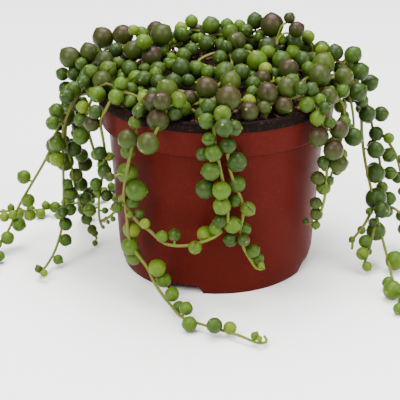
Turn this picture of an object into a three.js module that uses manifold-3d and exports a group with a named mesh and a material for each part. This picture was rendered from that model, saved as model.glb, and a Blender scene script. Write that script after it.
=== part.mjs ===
// A string of pearls plant in a two-colour nursery pot. Millimetres, +Z up.
// The origin is the middle of the pot's underside, and -Y is the side that faces the viewer.
import * as THREE from 'three';
import { mergeVertices } from 'three/addons/utils/BufferGeometryUtils.js';
import Module from 'manifold-3d';

const wasm = await Module();
wasm.setup();

// ---------------------------------------------------------------- driving dimensions

// The pot: radii from the axis and heights above the table. rimInside is the rim's inner face.
const POT = {
  wall: 1.0,
  footRadius: 43.1,
  bodyLowRadius: 45.2,
  bodyLowHeight: 7.5,
  stepRadius: 48.8,
  stepHeight: 66.5,
  collarLowRadius: 52.0,
  collarLowHeight: 67.6,
  collarTopRadius: 53.2,
  lipHeight: 78.6,
  lipRise: 0.4,
  rimRadius: 54.0,
  rimRound: 1.0,
  rimInside: [[51.4, 82], [50.9, 79]],
  height: 83.0,
  sides: 36,
};

// The four arched notches in its foot, each with a drain hole above it.
const NOTCH = {
  firstAzimuth: -17.7,
  count: 4,
  lowWidth: 17,
  highWidth: 12,
  height: 4,
  innerRadius: 35,
};
const DRAIN = { radius: 2.5, distance: 39 };

// The potting mix: flat at the rim, and higher at the back.
const SOIL = {
  gap: 0.4,
  lift: 0.3,
  edgeHeight: 80,
  edgeRadius: 51,
  mound: 14,
  backShare: 0.32,
  backCentre: 2,
  backReach: 34,
  crownRings: [40, 24],
};

// Stems and pearls. A pearl sits on its stem and keeps clear of all that it doesn't grow from.
// SOIL_FEEL says how far out and down from a pearl's middle, in radii, the soil is felt for.
const STEM_RADIUS = 0.8;
const STEM_SIDES = 3;
const STEM_STEP = 6;
const SITE_STEP = 2;
const CLEARANCE = 0.4;
const STEM_CLEARANCE = 0.65;
const PEARL_SINK = 0.35;
const BASE_DEPTH = 0.05;
const PEARL_TIP = 1.12;
const PEARL_SIDES = 4;
const UP = new THREE.Vector3(0, 1, 0);
const ROOT_RADIUS = 46;
const ROOT_DEPTH = 8;
const ROOT_STAND = 2;
const ROOT_HOLE_RADIUS = 2.2;
const FIRST_SITE = 6;
const OWN_STEM_REACH = 1.5;
const SOIL_FEEL = { reach: 0.7, depth: 0.72 };
const STEEP = 0.4;
const PEARL_TAPER = 1.3;
const PEARL_SPREAD = [0.8, 1.1];
const SPACING_SPREAD = [0.8, 1.2];
const TURN_SPREAD = [-20, 20];
const END_PEARL = { least: 1.3, share: 0.9, rise: 0.7 };
const LEAF_TURN = 137.5;
const SIDE_TURNS = [0, 25, -25, 50, -50, 80, -80, 110, -110, 140, -140, 180];
const SHRINKS = [1, 0.85, 0.7];
const END_SHRINKS = [1, 0.75, 0.5];
const SEED = 20231;

// How a string leaves its root and climbs the rim.
const HEAD = { rimGap: 1.2, share: 0.6, leadStep: 9, leadInset: 0.3, low: 0.5, gain: 0.3, rimInset: 1.5 };

// The trailing strings that the eye meets from the front. azimuth is where a string crosses the
// rim, lead is how far round it has crept before that, rise is its height over the rim, and
// spacing and radius run from its rim end to its tip. The points lead down from the rim.
const TRAILS = [
  {
    name: 'string_front_left', azimuth: -33, lead: 24, rise: 5.5,
    radius: [4.8, 2.5], spacing: [8, 12.5],
    points: [
      [-32, -49.5, 84], [-33, -49, 77.5], [-35, -47.5, 70], [-37, -46.5, 60.5],
      [-38.5, -45.5, 52], [-39, -44.5, 46], [-38, -45.5, 39], [-37.5, -45.5, 31],
      [-36.5, -46, 26], [-33.5, -48, 21.5], [-29, -50.5, 16], [-26.5, -52, 10.5],
      [-22.5, -56, 6], [-18.5, -62, 4], [-13.5, -71.5, 3.6], [-7, -76, 3.6], [2, -81, 3.4],
      [10, -85, 3], [17, -90, 2.6], [21, -89, 2.6], [20, -86, 3.4],
    ],
    branches: [
      {
        radius: [2.2, 3.2], spacing: [11.5, 10],
        points: [
          [-38.8, -44.8, 44.5], [-36.5, -45.5, 40.5], [-33, -48.5, 37], [-28, -51.5, 34.5],
          [-22, -54, 30], [-15.8, -55, 29], [-8.6, -56, 30.3], [-1, -56, 33.3],
          [2.7, -55.2, 36],
        ],
      },
    ],
  },
  {
    name: 'string_centre_left', azimuth: -2, lead: 0, rise: 6,
    radius: [4.6, 4.2], spacing: [7, 7],
    points: [
      [-1, -58.5, 83], [0, -59, 74], [2, -58, 64], [4, -57, 54], [5, -57, 47],
      [5, -57.5, 41],
    ],
  },
  {
    name: 'string_centre_right', azimuth: 5, lead: 0, rise: 6,
    radius: [4.4, 2.4], spacing: [7, 7],
    points: [
      [4.4, -58.5, 82], [4.4, -58.3, 76], [4.8, -57.5, 70], [6.4, -56, 61.5], [9.5, -55, 53],
      [11.4, -54.5, 47], [11.2, -54, 41], [10.5, -53.5, 35], [11.7, -53, 28], [14.8, -52, 21.5],
      [18, -51.5, 16.6], [21, -51.5, 17],
    ],
  },
  {
    name: 'string_right_front', azimuth: 46, lead: -28, rise: 6,
    radius: [4.8, 1.9], spacing: [6.5, 7.5],
    points: [
      [43, -40, 82], [46, -39, 72], [47, -37, 62], [47.5, -35.5, 52], [47, -35, 42],
      [45, -34, 33], [42, -34, 28],
    ],
  },
  {
    name: 'string_right_main', azimuth: 96, lead: -9, rise: 10,
    radius: [4.4, 3.9], spacing: [8, 14],
    points: [
      [58, 5, 90], [62, 2, 82], [65, -2, 72], [66, -4, 60], [68, -6, 48], [71, -8, 36],
      [74, -11, 24], [77, -15, 13], [79, -22, 6], [79, -34, 4], [80, -46, 4], [81, -54, 4],
    ],
    branches: [
      {
        radius: [2.4, 1.8], spacing: [9, 9],
        points: [
          [72.8, -9.8, 29], [71, -11.5, 26], [68.5, -14, 22], [66, -16, 19], [63, -17.5, 15.5],
          [62.5, -18, 10.5],
        ],
      },
      {
        radius: [3.0, 2.4], spacing: [9, 9],
        points: [[74, -11, 24], [72, -15, 16], [70, -18, 9], [68, -21, 4.5]],
      },
    ],
  },
  {
    name: 'string_right_second', azimuth: 107, lead: 0, rise: 9,
    radius: [4.2, 3.0], spacing: [8, 12.5],
    points: [
      [60, 17, 86], [67, 15, 77], [71, 13, 66], [74, 12, 54], [77, 9, 42], [78, 7, 31],
      [80, 6, 23], [84, 6, 21], [88, 5, 18], [91, 3, 13], [93, -1, 8], [94, -8, 4.5],
      [94, -16, 4],
    ],
    branches: [
      {
        radius: [3.2, 2.4], spacing: [9, 10],
        points: [
          [73, 12.3, 58], [75.5, 12, 57], [78.5, 11.5, 54.5], [81.3, 11, 51], [84, 10, 46.7],
          [86, 9.5, 41], [87.5, 9, 35], [88, 8.5, 30],
        ],
      },
    ],
  },
  {
    name: 'string_right_outer', azimuth: 80, lead: 0, rise: 6,
    radius: [3.8, 2.6], spacing: [8, 10],
    points: [[58, -9, 82], [60.5, -10.5, 73], [61.3, -12, 62.5]],
  },
  {
    name: 'string_right_short', azimuth: 64, lead: 0, rise: 6,
    radius: [3.8, 2.4], spacing: [8, 10],
    points: [
      [54, -23, 82], [55, -23, 75], [54.5, -25, 68], [53, -26, 62], [51.5, -27, 55],
      [50, -27, 49],
    ],
  },
  {
    name: 'string_right_back', azimuth: 120, lead: 0, rise: 8,
    radius: [4.4, 3.4], spacing: [8, 9],
    points: [[53, 31, 85], [58, 30, 76], [61, 28, 66], [62, 27, 56]],
  },
  {
    name: 'string_left_outer', azimuth: -98, lead: 0, rise: 9,
    radius: [4.6, 2.9], spacing: [6.5, 15],
    points: [
      [-60, 8, 87], [-66, 9, 78], [-71, 7, 66], [-75, 4, 55], [-79, 2, 46], [-86, 3, 34],
      [-93, 4, 22], [-98, 3, 11], [-102, -4, 5], [-103, -15, 4], [-103, -25, 4],
    ],
  },
  {
    name: 'string_left_front', azimuth: -80, lead: 0, rise: 7,
    radius: [4.4, 2.0], spacing: [6.5, 12.5],
    points: [
      [-58, -11, 85], [-64, -12, 76], [-68, -11, 66], [-69, -10, 54], [-69.5, -9, 42],
      [-70, -9, 30], [-71, -11, 18], [-74, -15, 8], [-77, -23, 4], [-79, -31, 4],
    ],
  },
  {
    name: 'string_left_middle', azimuth: -89, lead: 0, rise: 8,
    radius: [4.4, 1.8], spacing: [6.5, 11],
    points: [
      [-59, -2, 86], [-64.5, -4, 76], [-67.5, -5.5, 66], [-68, -6, 58], [-67, -5.5, 52],
      [-66, -4, 43], [-65, -3, 34], [-63, -1, 25], [-60.5, 1, 15.5], [-58.5, 4, 8.5],
      [-57, 5, 4.7],
    ],
  },
  {
    name: 'string_left_inner', azimuth: -68, lead: 0, rise: 6,
    radius: [3.8, 1.9], spacing: [8, 11],
    points: [
      [-54, -19, 82], [-57, -19, 73], [-56, -19, 67], [-54, -18, 58], [-51.7, -17, 51.5],
      [-51.2, -16.5, 43.5], [-52.8, -16, 35], [-53.2, -15, 25.5], [-52.6, -14, 20.5],
      [-51.4, -13, 18],
    ],
    branches: [
      {
        radius: [1.2, 1.6], spacing: [4, 4],
        points: [[-52.8, -14.3, 22], [-50.6, -15.5, 23.5], [-48, -17.5, 26], [-45.5, -20.5, 29.5]],
      },
    ],
  },
  {
    name: 'string_left_back', azimuth: -108, lead: 0, rise: 10,
    radius: [4.6, 2.4], spacing: [6.5, 11],
    points: [
      [-58, 18, 87], [-63, 19, 76], [-66, 18, 64], [-66, 16, 50], [-65, 15, 38],
      [-64, 18, 26], [-64, 25, 14], [-65, 36, 6], [-67, 46, 4], [-71, 50, 4], [-76, 47.5, 4],
      [-81.5, 44, 4], [-92, 40, 4], [-102.5, 39, 4], [-110, 38, 4],
    ],
    branches: [
      {
        radius: [2.6, 2.4], spacing: [12, 12],
        points: [[-71, 50, 4], [-66, 55, 4], [-61.5, 60, 4], [-54.5, 70, 4], [-51, 77, 4]],
      },
    ],
  },
  {
    name: 'string_left_short', azimuth: -120, lead: 0, rise: 12,
    radius: [4.8, 3.4], spacing: [6.5, 7.5],
    points: [[-54, 31, 89], [-61, 32, 80], [-65, 30, 70], [-66, 28, 60]],
  },
  {
    name: 'string_left_collar', azimuth: -52, lead: 11, rise: 6,
    radius: [3.8, 3.0], spacing: [6.5, 7.5],
    points: [
      [-46.5, -36, 82.5], [-49, -33.5, 76.5], [-48.5, -31.5, 69], [-48, -30, 62.5],
      [-48.7, -29, 55],
    ],
  },
];

// The strings at the back, which no view from the front shows: one rule, five lengths.
const BACK = {
  firstAzimuth: 136,
  turn: 19,
  drops: [70, 40, 95, 55, 80],
  rise: 8,
  radius: [4.4, 2.6],
  spacing: [9, 14],
  start: { out: 0.5, rise: 1 },
  highest: 72,
  hang: 12,
  waist: 60,
  highRadius: 58.5,
  lowRadius: 56,
  sway: 2.5,
  swayLength: 9,
  tableDrop: 75,
  landing: { out: 1, height: 6 },
  table: { radius: 60, step: 8, turn: 5, count: 2, height: 4 },
};

// The strings that creep over the soil, as arcs on rings about the axis.
const CROWN = {
  rings: [
    { radius: 40.5, count: 7, azimuth: 5 },
    { radius: 30.5, count: 5, azimuth: 30 },
    { radius: 20, count: 3, azimuth: 0 },
    { radius: 8.5, count: 1, azimuth: 50 },
  ],
  endGap: 6,
  points: 5,
  wander: 1.5,
  rise: 4.4,
  wave: 1.2,
  spacing: [6.5, 6.5],
  pearl: [3.2, 4.9],
  lean: 70,
};

// ---------------------------------------------------------------- materials

const potPlastic = new THREE.MeshStandardMaterial({ color: 0x74281f, roughness: 0.3, metalness: 0 });
const pottingMix = new THREE.MeshStandardMaterial({ color: 0x33241a, roughness: 0.95, metalness: 0 });
const greenLeaf = new THREE.MeshStandardMaterial({ color: 0x5d7d3a, roughness: 0.4, metalness: 0 });

// ---------------------------------------------------------------- small tools

// Park and Miller's dice: the same rolls every time.
const dice = {
  state: SEED,
  roll() {
    this.state = (this.state * 16807) % 2147483647;
    return this.state / 2147483647;
  },
  between(low, high) {
    return low + (high - low) * this.roll();
  },
};

const radians = THREE.MathUtils.degToRad;

// Azimuth 0 is the front, and turns towards +X.
function polar(radius, azimuth, z) {
  const angle = radians(azimuth);
  return new THREE.Vector3(radius * Math.sin(angle), -radius * Math.cos(angle), z);
}

// A closed geometry as a solid that can be joined and cut.
function solid(geometry) {
  const bare = geometry.clone();
  bare.deleteAttribute('normal');
  bare.deleteAttribute('uv');
  const merged = mergeVertices(bare, 1e-4);
  const mesh = new wasm.Mesh({
    numProp: 3,
    vertProperties: new Float32Array(merged.attributes.position.array),
    triVerts: new Uint32Array(merged.index.array),
  });
  return new wasm.Manifold(mesh);
}

function namedMesh(name, body, material) {
  const { vertProperties, triVerts } = body.getMesh();
  const geometry = new THREE.BufferGeometry();
  geometry.setAttribute('position', new THREE.BufferAttribute(vertProperties, 3));
  geometry.setIndex(new THREE.BufferAttribute(triVerts, 1));
  const mesh = new THREE.Mesh(geometry, material);
  mesh.name = name;
  return mesh;
}

// A profile of [radius, height] turned about the Z axis.
function turned(profile) {
  const points = profile.map(([radius, height]) => new THREE.Vector2(radius, height));
  return new THREE.LatheGeometry(points, POT.sides).rotateX(Math.PI / 2);
}

// ---------------------------------------------------------------- the pot

// One half of the wall's section, from the axis out and up to where the rim begins.
function potSide(inset) {
  return [
    [0, inset],
    [POT.footRadius - inset, inset],
    [POT.bodyLowRadius - inset, POT.bodyLowHeight],
    [POT.stepRadius - inset, POT.stepHeight],
    [POT.collarLowRadius - inset, POT.collarLowHeight],
    [POT.collarTopRadius - inset, POT.lipHeight],
  ];
}

// The section of the rim above its lip, from outside in.
const RIM = [
  [POT.rimRadius, POT.lipHeight + POT.lipRise],
  [POT.rimRadius, POT.height - POT.rimRound],
  [POT.rimRadius - POT.rimRound, POT.height],
];

// A wedge that runs in from outside the foot; grown by the wall, it is what the notch takes
// from the hollow.
function notch(azimuth, grow) {
  const below = 1;
  const low = NOTCH.lowWidth / 2 + grow;
  const high = NOTCH.highWidth / 2 + grow;
  const outline = new THREE.Shape();
  outline.moveTo(-low, -below);
  outline.lineTo(low, -below);
  outline.lineTo(high, NOTCH.height + grow);
  outline.lineTo(-high, NOTCH.height + grow);
  outline.closePath();
  const inner = NOTCH.innerRadius - grow;
  const depth = POT.rimRadius - inner;
  const wedge = new THREE.ExtrudeGeometry(outline, { depth, bevelEnabled: false });
  wedge.rotateX(Math.PI / 2);
  wedge.translate(0, -inner, 0);
  return solid(wedge.rotateZ(radians(azimuth)));
}

const NOTCH_AZIMUTHS = [0, 1, 2, 3].map((k) => NOTCH.firstAzimuth + (360 / NOTCH.count) * k);

function buildPot() {
  const { height, wall, collarTopRadius } = POT;
  let outer = solid(turned([...potSide(0), ...RIM, [0, height]]));
  let hollow = solid(turned([...potSide(wall), [collarTopRadius - wall, height + 1], [0, height + 1]]));
  for (const azimuth of NOTCH_AZIMUTHS) {
    outer = outer.subtract(notch(azimuth, 0));
    hollow = hollow.subtract(notch(azimuth, wall));
  }
  let pot = outer.subtract(hollow);
  for (const azimuth of NOTCH_AZIMUTHS) {
    const drill = new THREE.CylinderGeometry(DRAIN.radius, DRAIN.radius, 4 * NOTCH.height, 8);
    drill.rotateX(Math.PI / 2);
    drill.translate(...polar(DRAIN.distance, azimuth, 0).toArray());
    pot = pot.subtract(solid(drill));
  }
  return namedMesh('pot', pot, potPlastic);
}

// ---------------------------------------------------------------- the soil

function soilHeight(x, y) {
  const rho = Math.hypot(x, y);
  const towardBack = Math.max(-1, Math.min(1, (y - SOIL.backCentre) / SOIL.backReach));
  const share = 1 - SOIL.backShare + SOIL.backShare * Math.sin((Math.PI / 2) * towardBack);
  return SOIL.edgeHeight + SOIL.mound * Math.max(0, 1 - (rho / SOIL.edgeRadius) ** 4) * share;
}

// The pot's fill with a raised top, and a plain hole for each root.
function buildSoil(roots) {
  const inset = POT.wall + SOIL.gap;
  const side = potSide(inset).slice(0, -1).map(([radius, height]) => [radius, height + SOIL.lift]);
  const top = SOIL.crownRings.map((radius) => [radius, SOIL.edgeHeight]);
  const profile = [...side, [SOIL.edgeRadius, SOIL.edgeHeight], ...top, [0, SOIL.edgeHeight]];
  const fill = turned(profile);
  const position = fill.attributes.position;
  for (let k = 0; k < position.count; k++) {
    if (position.getZ(k) > SOIL.edgeHeight - 0.01) {
      position.setZ(k, soilHeight(position.getX(k), position.getY(k)));
    }
  }
  let soil = solid(fill);
  for (const azimuth of NOTCH_AZIMUTHS) soil = soil.subtract(notch(azimuth, inset));
  for (const root of roots) {
    const depth = 2 * (ROOT_DEPTH + 1);
    const hole = new THREE.CylinderGeometry(ROOT_HOLE_RADIUS, ROOT_HOLE_RADIUS, depth, 4);
    hole.rotateX(Math.PI / 2);
    hole.translate(root.x, root.y, soilHeight(root.x, root.y));
    soil = soil.subtract(solid(hole));
  }
  return namedMesh('soil', soil, pottingMix);
}

// ---------------------------------------------------------------- the routes of the stems

// From its hole in the soil, round beside the rim for a lead, and up over the rim.
function headOf({ azimuth, lead, rise }) {
  const start = azimuth + lead;
  const foot = polar(ROOT_RADIUS, start, 0);
  const ground = soilHeight(foot.x, foot.y);
  const points = [
    polar(ROOT_RADIUS, start, ground - ROOT_DEPTH),
    polar(ROOT_RADIUS, start, ground + ROOT_STAND),
  ];
  if (lead === 0) {
    points.push(polar(ROOT_RADIUS + HEAD.rimGap, azimuth, POT.height + rise * HEAD.share));
  } else {
    const count = Math.max(2, Math.round(Math.abs(lead) / HEAD.leadStep));
    for (let k = 1; k < count; k++) {
      const z = POT.height + rise * (HEAD.low + (HEAD.gain * k) / count);
      points.push(polar(ROOT_RADIUS - HEAD.leadInset, start - (lead * k) / count, z));
    }
  }
  points.push(polar(POT.rimRadius - HEAD.rimInset, azimuth, POT.height + rise));
  return points;
}

function trailPoints(trail) {
  return [...headOf(trail), ...trail.points.map((point) => new THREE.Vector3(...point))];
}

function backTrail(k) {
  const { rise, radius, spacing, highRadius, lowRadius, landing, table } = BACK;
  const azimuth = BACK.firstAzimuth + k * BACK.turn;
  const top = POT.height + BACK.start.rise;
  const bottom = Math.max(top - BACK.drops[k], BACK.hang);
  const points = [polar(highRadius + BACK.start.out, azimuth, top)];
  for (let z = BACK.highest; z > bottom; z -= BACK.hang) {
    const swing = BACK.sway * Math.sin(z / BACK.swayLength + k);
    points.push(polar(z > BACK.waist ? highRadius : lowRadius, azimuth + swing, z));
  }
  if (BACK.drops[k] > BACK.tableDrop) {
    points.push(polar(lowRadius + landing.out, azimuth, landing.height));
    for (let j = 1; j <= table.count; j++) {
      points.push(polar(table.radius + table.step * j, azimuth + table.turn * j, table.height));
    }
  }
  return {
    name: `string_back_${k + 1}`,
    azimuth,
    lead: 0,
    rise,
    radius,
    spacing,
    points: points.map((point) => point.toArray()),
  };
}

function crownPoints(ring, ringIndex, j) {
  const { endGap, points: count, wander, rise, wave } = CROWN;
  const start = ring.azimuth + (360 * j) / ring.count;
  const span = 360 / ring.count - THREE.MathUtils.radToDeg(endGap / ring.radius);
  const foot = polar(ring.radius, start, 0);
  const ground = soilHeight(foot.x, foot.y);
  const points = [
    new THREE.Vector3(foot.x, foot.y, ground - ROOT_DEPTH),
    new THREE.Vector3(foot.x, foot.y, ground + ROOT_STAND),
  ];
  for (let i = 1; i <= count; i++) {
    const radius = ring.radius + wander * Math.sin(2.1 * i + j + ringIndex);
    const point = polar(radius, start + (span * i) / count, 0);
    point.z = soilHeight(point.x, point.y) + rise + wave * Math.sin(1.7 * i + 2 * j);
    points.push(point);
  }
  return points;
}

// Points evenly spaced along a smooth curve through the given ones.
function evenPoints(points, step) {
  const curve = new THREE.CatmullRomCurve3(points, false, 'catmullrom', 0.5);
  const fine = curve.getPoints(200);
  const reach = [0];
  for (let k = 1; k < fine.length; k++) {
    reach.push(reach[k - 1] + fine[k].distanceTo(fine[k - 1]));
  }
  const length = reach[reach.length - 1];
  const count = Math.max(2, Math.round(length / step));
  const even = [];
  let k = 0;
  for (let j = 0; j <= count; j++) {
    const along = (length * j) / count;
    while (k < fine.length - 2 && reach[k + 1] < along) k++;
    const share = (along - reach[k]) / (reach[k + 1] - reach[k]);
    even.push(fine[k].clone().lerp(fine[k + 1], share));
  }
  return even;
}

// ---------------------------------------------------------------- where the pearls sit

const placed = [];
const stems = [];

// The distance from a point of the section plane to the pot's outside and rim.
const potSection = [...potSide(0).slice(1), ...RIM, ...POT.rimInside];
function potDistance(rho, z) {
  let nearest = Infinity;
  for (let k = 1; k < potSection.length; k++) {
    const [ar, az] = potSection[k - 1];
    const [br, bz] = potSection[k];
    const along = ((rho - ar) * (br - ar) + (z - az) * (bz - az)) / ((br - ar) ** 2 + (bz - az) ** 2);
    const t = Math.max(0, Math.min(1, along));
    nearest = Math.min(nearest, Math.hypot(ar + t * (br - ar) - rho, az + t * (bz - az) - z));
  }
  return nearest;
}

// Whether a ball clears the table, the soil and the pot.
function clearsPot(centre, radius) {
  const { x, y, z } = centre;
  const rho = Math.hypot(x, y);
  if (z < radius) return false;
  if (rho < SOIL.edgeRadius) {
    if (z - radius < soilHeight(x, y) + CLEARANCE) return false;
    const reach = SOIL_FEEL.reach * radius;
    for (const [dx, dy] of [[reach, 0], [-reach, 0], [0, reach], [0, -reach]]) {
      const ground = soilHeight(x + dx, y + dy);
      if (z - SOIL_FEEL.depth * radius < ground + CLEARANCE) return false;
    }
  }
  return z >= POT.height + radius + 1 || potDistance(rho, z) >= radius + CLEARANCE;
}

function clearsAll(centre, radius, tip, stem, site) {
  if (!clearsPot(centre, radius) || !clearsPot(tip, 0.3)) return false;
  for (const other of placed) {
    if (other.centre.distanceTo(centre) - other.radius - radius < CLEARANCE) return false;
    if (other.centre.distanceTo(tip) - other.radius < CLEARANCE) return false;
  }
  for (const other of stems) {
    for (let k = 0; k < other.line.length; k++) {
      const distance = other.line[k].distanceTo(centre) - radius - STEM_RADIUS;
      if (other !== stem && distance < STEM_CLEARANCE) return false;
      const away = Math.abs(k - site) * SITE_STEP > radius + OWN_STEM_REACH;
      if (other === stem && away && distance < CLEARANCE / 2) return false;
    }
  }
  return true;
}

// Two directions square to the stem: up, or outward where it hangs, and to the side.
function frameAt(line, site) {
  const before = line[Math.max(site - 1, 0)];
  const after = line[Math.min(site + 1, line.length - 1)];
  const tangent = after.clone().sub(before).normalize();
  let up = new THREE.Vector3(0, 0, 1).addScaledVector(tangent, -tangent.z);
  if (up.length() < STEEP) {
    const out = new THREE.Vector3(line[site].x, line[site].y, 0).normalize();
    up = out.addScaledVector(tangent, -out.dot(tangent));
  }
  up.normalize();
  return { up, side: tangent.cross(up) };
}

// The largest pearl that fits at a site, turned as little as may be from the wanted angle.
function seatPearl(stem, site, wantedRadius, wantedTurn) {
  const { up, side } = frameAt(stem.line, site);
  const foot = stem.line[site];
  for (const shrink of SHRINKS) {
    const radius = wantedRadius * shrink;
    for (const turn of SIDE_TURNS) {
      const angle = radians(wantedTurn + turn);
      const direction = up.clone().multiplyScalar(Math.cos(angle)).addScaledVector(side, Math.sin(angle));
      const centre = foot.clone().addScaledVector(direction, radius - PEARL_SINK);
      const tip = foot.clone().addScaledVector(direction, (1 + PEARL_TIP) * radius);
      if (clearsAll(centre, radius, tip, stem, site)) return { centre, radius, direction };
    }
  }
  return null;
}

// The last pearl, which ends the string.
function seatEndPearl(stem) {
  const { line } = stem;
  const end = line[line.length - 1];
  const direction = end.clone().sub(line[line.length - 2]).normalize();
  for (const shrink of END_SHRINKS) {
    const radius = Math.max(END_PEARL.least, stem.radius[1] * END_PEARL.share) * shrink;
    const centre = end.clone().addScaledVector(direction, radius * END_PEARL.rise);
    const tip = centre.clone().addScaledVector(direction, radius * PEARL_TIP);
    if (clearsAll(centre, radius, tip, stem, line.length - 1)) return { centre, radius, direction };
  }
  return null;
}

function growPearls(stem) {
  const { line, spacing } = stem;
  let along = stem.firstSite;
  let turn = dice.roll() * 360;
  while (along < (line.length - 1) * SITE_STEP - 2) {
    const site = Math.floor(along / SITE_STEP + 0.5);
    const share = site / (line.length - 1);
    let radius;
    let wantedTurn;
    if (stem.crown) {
      radius = dice.between(...CROWN.pearl);
      wantedTurn = dice.between(-CROWN.lean, CROWN.lean);
    } else {
      const [first, last] = stem.radius;
      radius = (first + (last - first) * share ** PEARL_TAPER) * dice.between(...PEARL_SPREAD);
      turn += LEAF_TURN;
      wantedTurn = turn + dice.between(...TURN_SPREAD);
    }
    const pearl = seatPearl(stem, site, radius, wantedTurn);
    if (pearl) {
      placed.push(pearl);
      stem.pearls.push(pearl);
      along += (spacing[0] + (spacing[1] - spacing[0]) * share) * dice.between(...SPACING_SPREAD);
    } else {
      along += SITE_STEP;
    }
  }
  const last = seatEndPearl(stem);
  if (last) {
    placed.push(last);
    stem.pearls.push(last);
  }
}

// ---------------------------------------------------------------- stems and pearls as solids

function stemSolid(extrudePath, steps) {
  const outline = new THREE.Shape();
  for (let k = 0; k < STEM_SIDES; k++) {
    const angle = (2 * Math.PI * k) / STEM_SIDES;
    const corner = new THREE.Vector2(Math.cos(angle), Math.sin(angle)).multiplyScalar(STEM_RADIUS);
    if (k === 0) outline.moveTo(corner.x, corner.y);
    else outline.lineTo(corner.x, corner.y);
  }
  outline.closePath();
  return solid(new THREE.ExtrudeGeometry(outline, { steps, extrudePath, bevelEnabled: false }));
}

// The point of a stem's axis that is nearest to a pearl.
function nearestOn(spine, point) {
  const candidates = spine.slice(1).map((end, k) => {
    return new THREE.Line3(spine[k], end).closestPointToPoint(point, true, new THREE.Vector3());
  });
  return candidates.reduce((best, next) => (next.distanceTo(point) < best.distanceTo(point) ? next : best));
}

// A round leaf with few facets, drawn out to a small point away from the stem, and with its base
// inside the stem. Its lower ring of corners is turned half a side against the upper one.
function pearlSolid({ centre, radius, direction }, spine) {
  const ball = new THREE.SphereGeometry(radius, PEARL_SIDES, 3);
  const halfSide = Math.PI / PEARL_SIDES;
  const toDirection = new THREE.Quaternion().setFromUnitVectors(UP, direction);
  const base = nearestOn(spine, centre).addScaledVector(direction, -BASE_DEPTH);
  const position = ball.attributes.position;
  const corner = new THREE.Vector3();
  for (let k = 0; k < position.count; k++) {
    corner.fromBufferAttribute(position, k);
    const isTip = corner.y > 0.99 * radius;
    const isBase = corner.y < -0.99 * radius;
    if (corner.y < 0) corner.applyAxisAngle(UP, -halfSide);
    if (isTip) corner.y = PEARL_TIP * radius;
    corner.applyQuaternion(toDirection).add(centre);
    if (isBase) corner.copy(base);
    position.setXYZ(k, corner.x, corner.y, corner.z);
  }
  return solid(ball);
}

function buildString(name, itsStems) {
  let body = null;
  for (const stem of itsStems) {
    const steps = Math.round(((stem.line.length - 1) * SITE_STEP) / STEM_STEP);
    const path = new THREE.CatmullRomCurve3(stem.line);
    const spine = path.getSpacedPoints(steps);
    const bare = stemSolid(path, steps);
    body = body ? body.add(bare) : bare;
    for (const pearl of stem.pearls) body = body.add(pearlSolid(pearl, spine));
  }
  return namedMesh(name, body, greenLeaf);
}

// ---------------------------------------------------------------- the whole plant

function addStem(string, points, details) {
  const stem = { pearls: [], line: evenPoints(points, SITE_STEP), ...details };
  stems.push(stem);
  string.stems.push(stem);
}

function planStrings() {
  const strings = [];
  for (const trail of [...TRAILS, ...BACK.drops.map((_, k) => backTrail(k))]) {
    const string = { name: trail.name, stems: [] };
    const { radius, spacing } = trail;
    addStem(string, trailPoints(trail), { radius, spacing, firstSite: FIRST_SITE });
    for (const branch of trail.branches ?? []) {
      const points = branch.points.map((point) => new THREE.Vector3(...point));
      addStem(string, points, { radius: branch.radius, spacing: branch.spacing, firstSite: SITE_STEP });
    }
    strings.push(string);
  }
  CROWN.rings.forEach((ring, ringIndex) => {
    for (let j = 0; j < ring.count; j++) {
      const number = strings.length - TRAILS.length - BACK.drops.length + 1;
      const string = { name: `string_crown_${number}`, stems: [] };
      const { spacing, pearl } = CROWN;
      const details = { radius: pearl, spacing, firstSite: FIRST_SITE, crown: true };
      addStem(string, crownPoints(ring, ringIndex, j), details);
      strings.push(string);
    }
  });
  return strings;
}

const plant = new THREE.Group();
const strings = planStrings();
stems.forEach(growPearls);
plant.add(buildPot());
plant.add(buildSoil(strings.map((string) => string.stems[0].line[0])));
for (const { name, stems: itsStems } of strings) plant.add(buildString(name, itsStems));

export default plant;
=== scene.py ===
import math

import bmesh
import bpy
import numpy as np
from mathutils import Matrix, Vector


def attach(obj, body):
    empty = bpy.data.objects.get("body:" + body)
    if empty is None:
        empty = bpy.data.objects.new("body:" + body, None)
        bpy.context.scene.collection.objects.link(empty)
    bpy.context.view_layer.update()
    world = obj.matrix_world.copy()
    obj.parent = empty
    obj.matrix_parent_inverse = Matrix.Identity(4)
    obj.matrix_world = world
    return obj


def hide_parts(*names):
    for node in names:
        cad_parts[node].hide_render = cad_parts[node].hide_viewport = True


# A string of pearls plant that spills out of a two-colour nursery pot, on a pale studio floor.
# Sizes are in real millimetres, and MM turns them into Blender's metres.
MM = 0.001

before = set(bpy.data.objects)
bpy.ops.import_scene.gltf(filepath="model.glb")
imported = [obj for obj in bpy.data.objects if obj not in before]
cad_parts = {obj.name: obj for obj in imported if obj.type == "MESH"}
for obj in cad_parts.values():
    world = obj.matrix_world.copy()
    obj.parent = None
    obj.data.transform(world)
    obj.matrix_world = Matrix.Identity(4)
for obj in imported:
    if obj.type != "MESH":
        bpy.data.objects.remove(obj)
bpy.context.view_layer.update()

# ---------------------------------------------------------------- the camera
# A long lens close to the pot, a little above its rim and turned a touch to the left.
CAMERA_PLACE = (0.0, -484 * MM, 230 * MM)
CAMERA_PITCH = 22.76
CAMERA_YAW = 0.87
CAMERA_LENS = 101.0

bpy.ops.object.camera_add(
    location=CAMERA_PLACE,
    rotation=(math.radians(90 - CAMERA_PITCH), 0, math.radians(CAMERA_YAW)),
)
camera = bpy.context.object
camera.data.lens = CAMERA_LENS
bpy.context.scene.camera = camera

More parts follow.
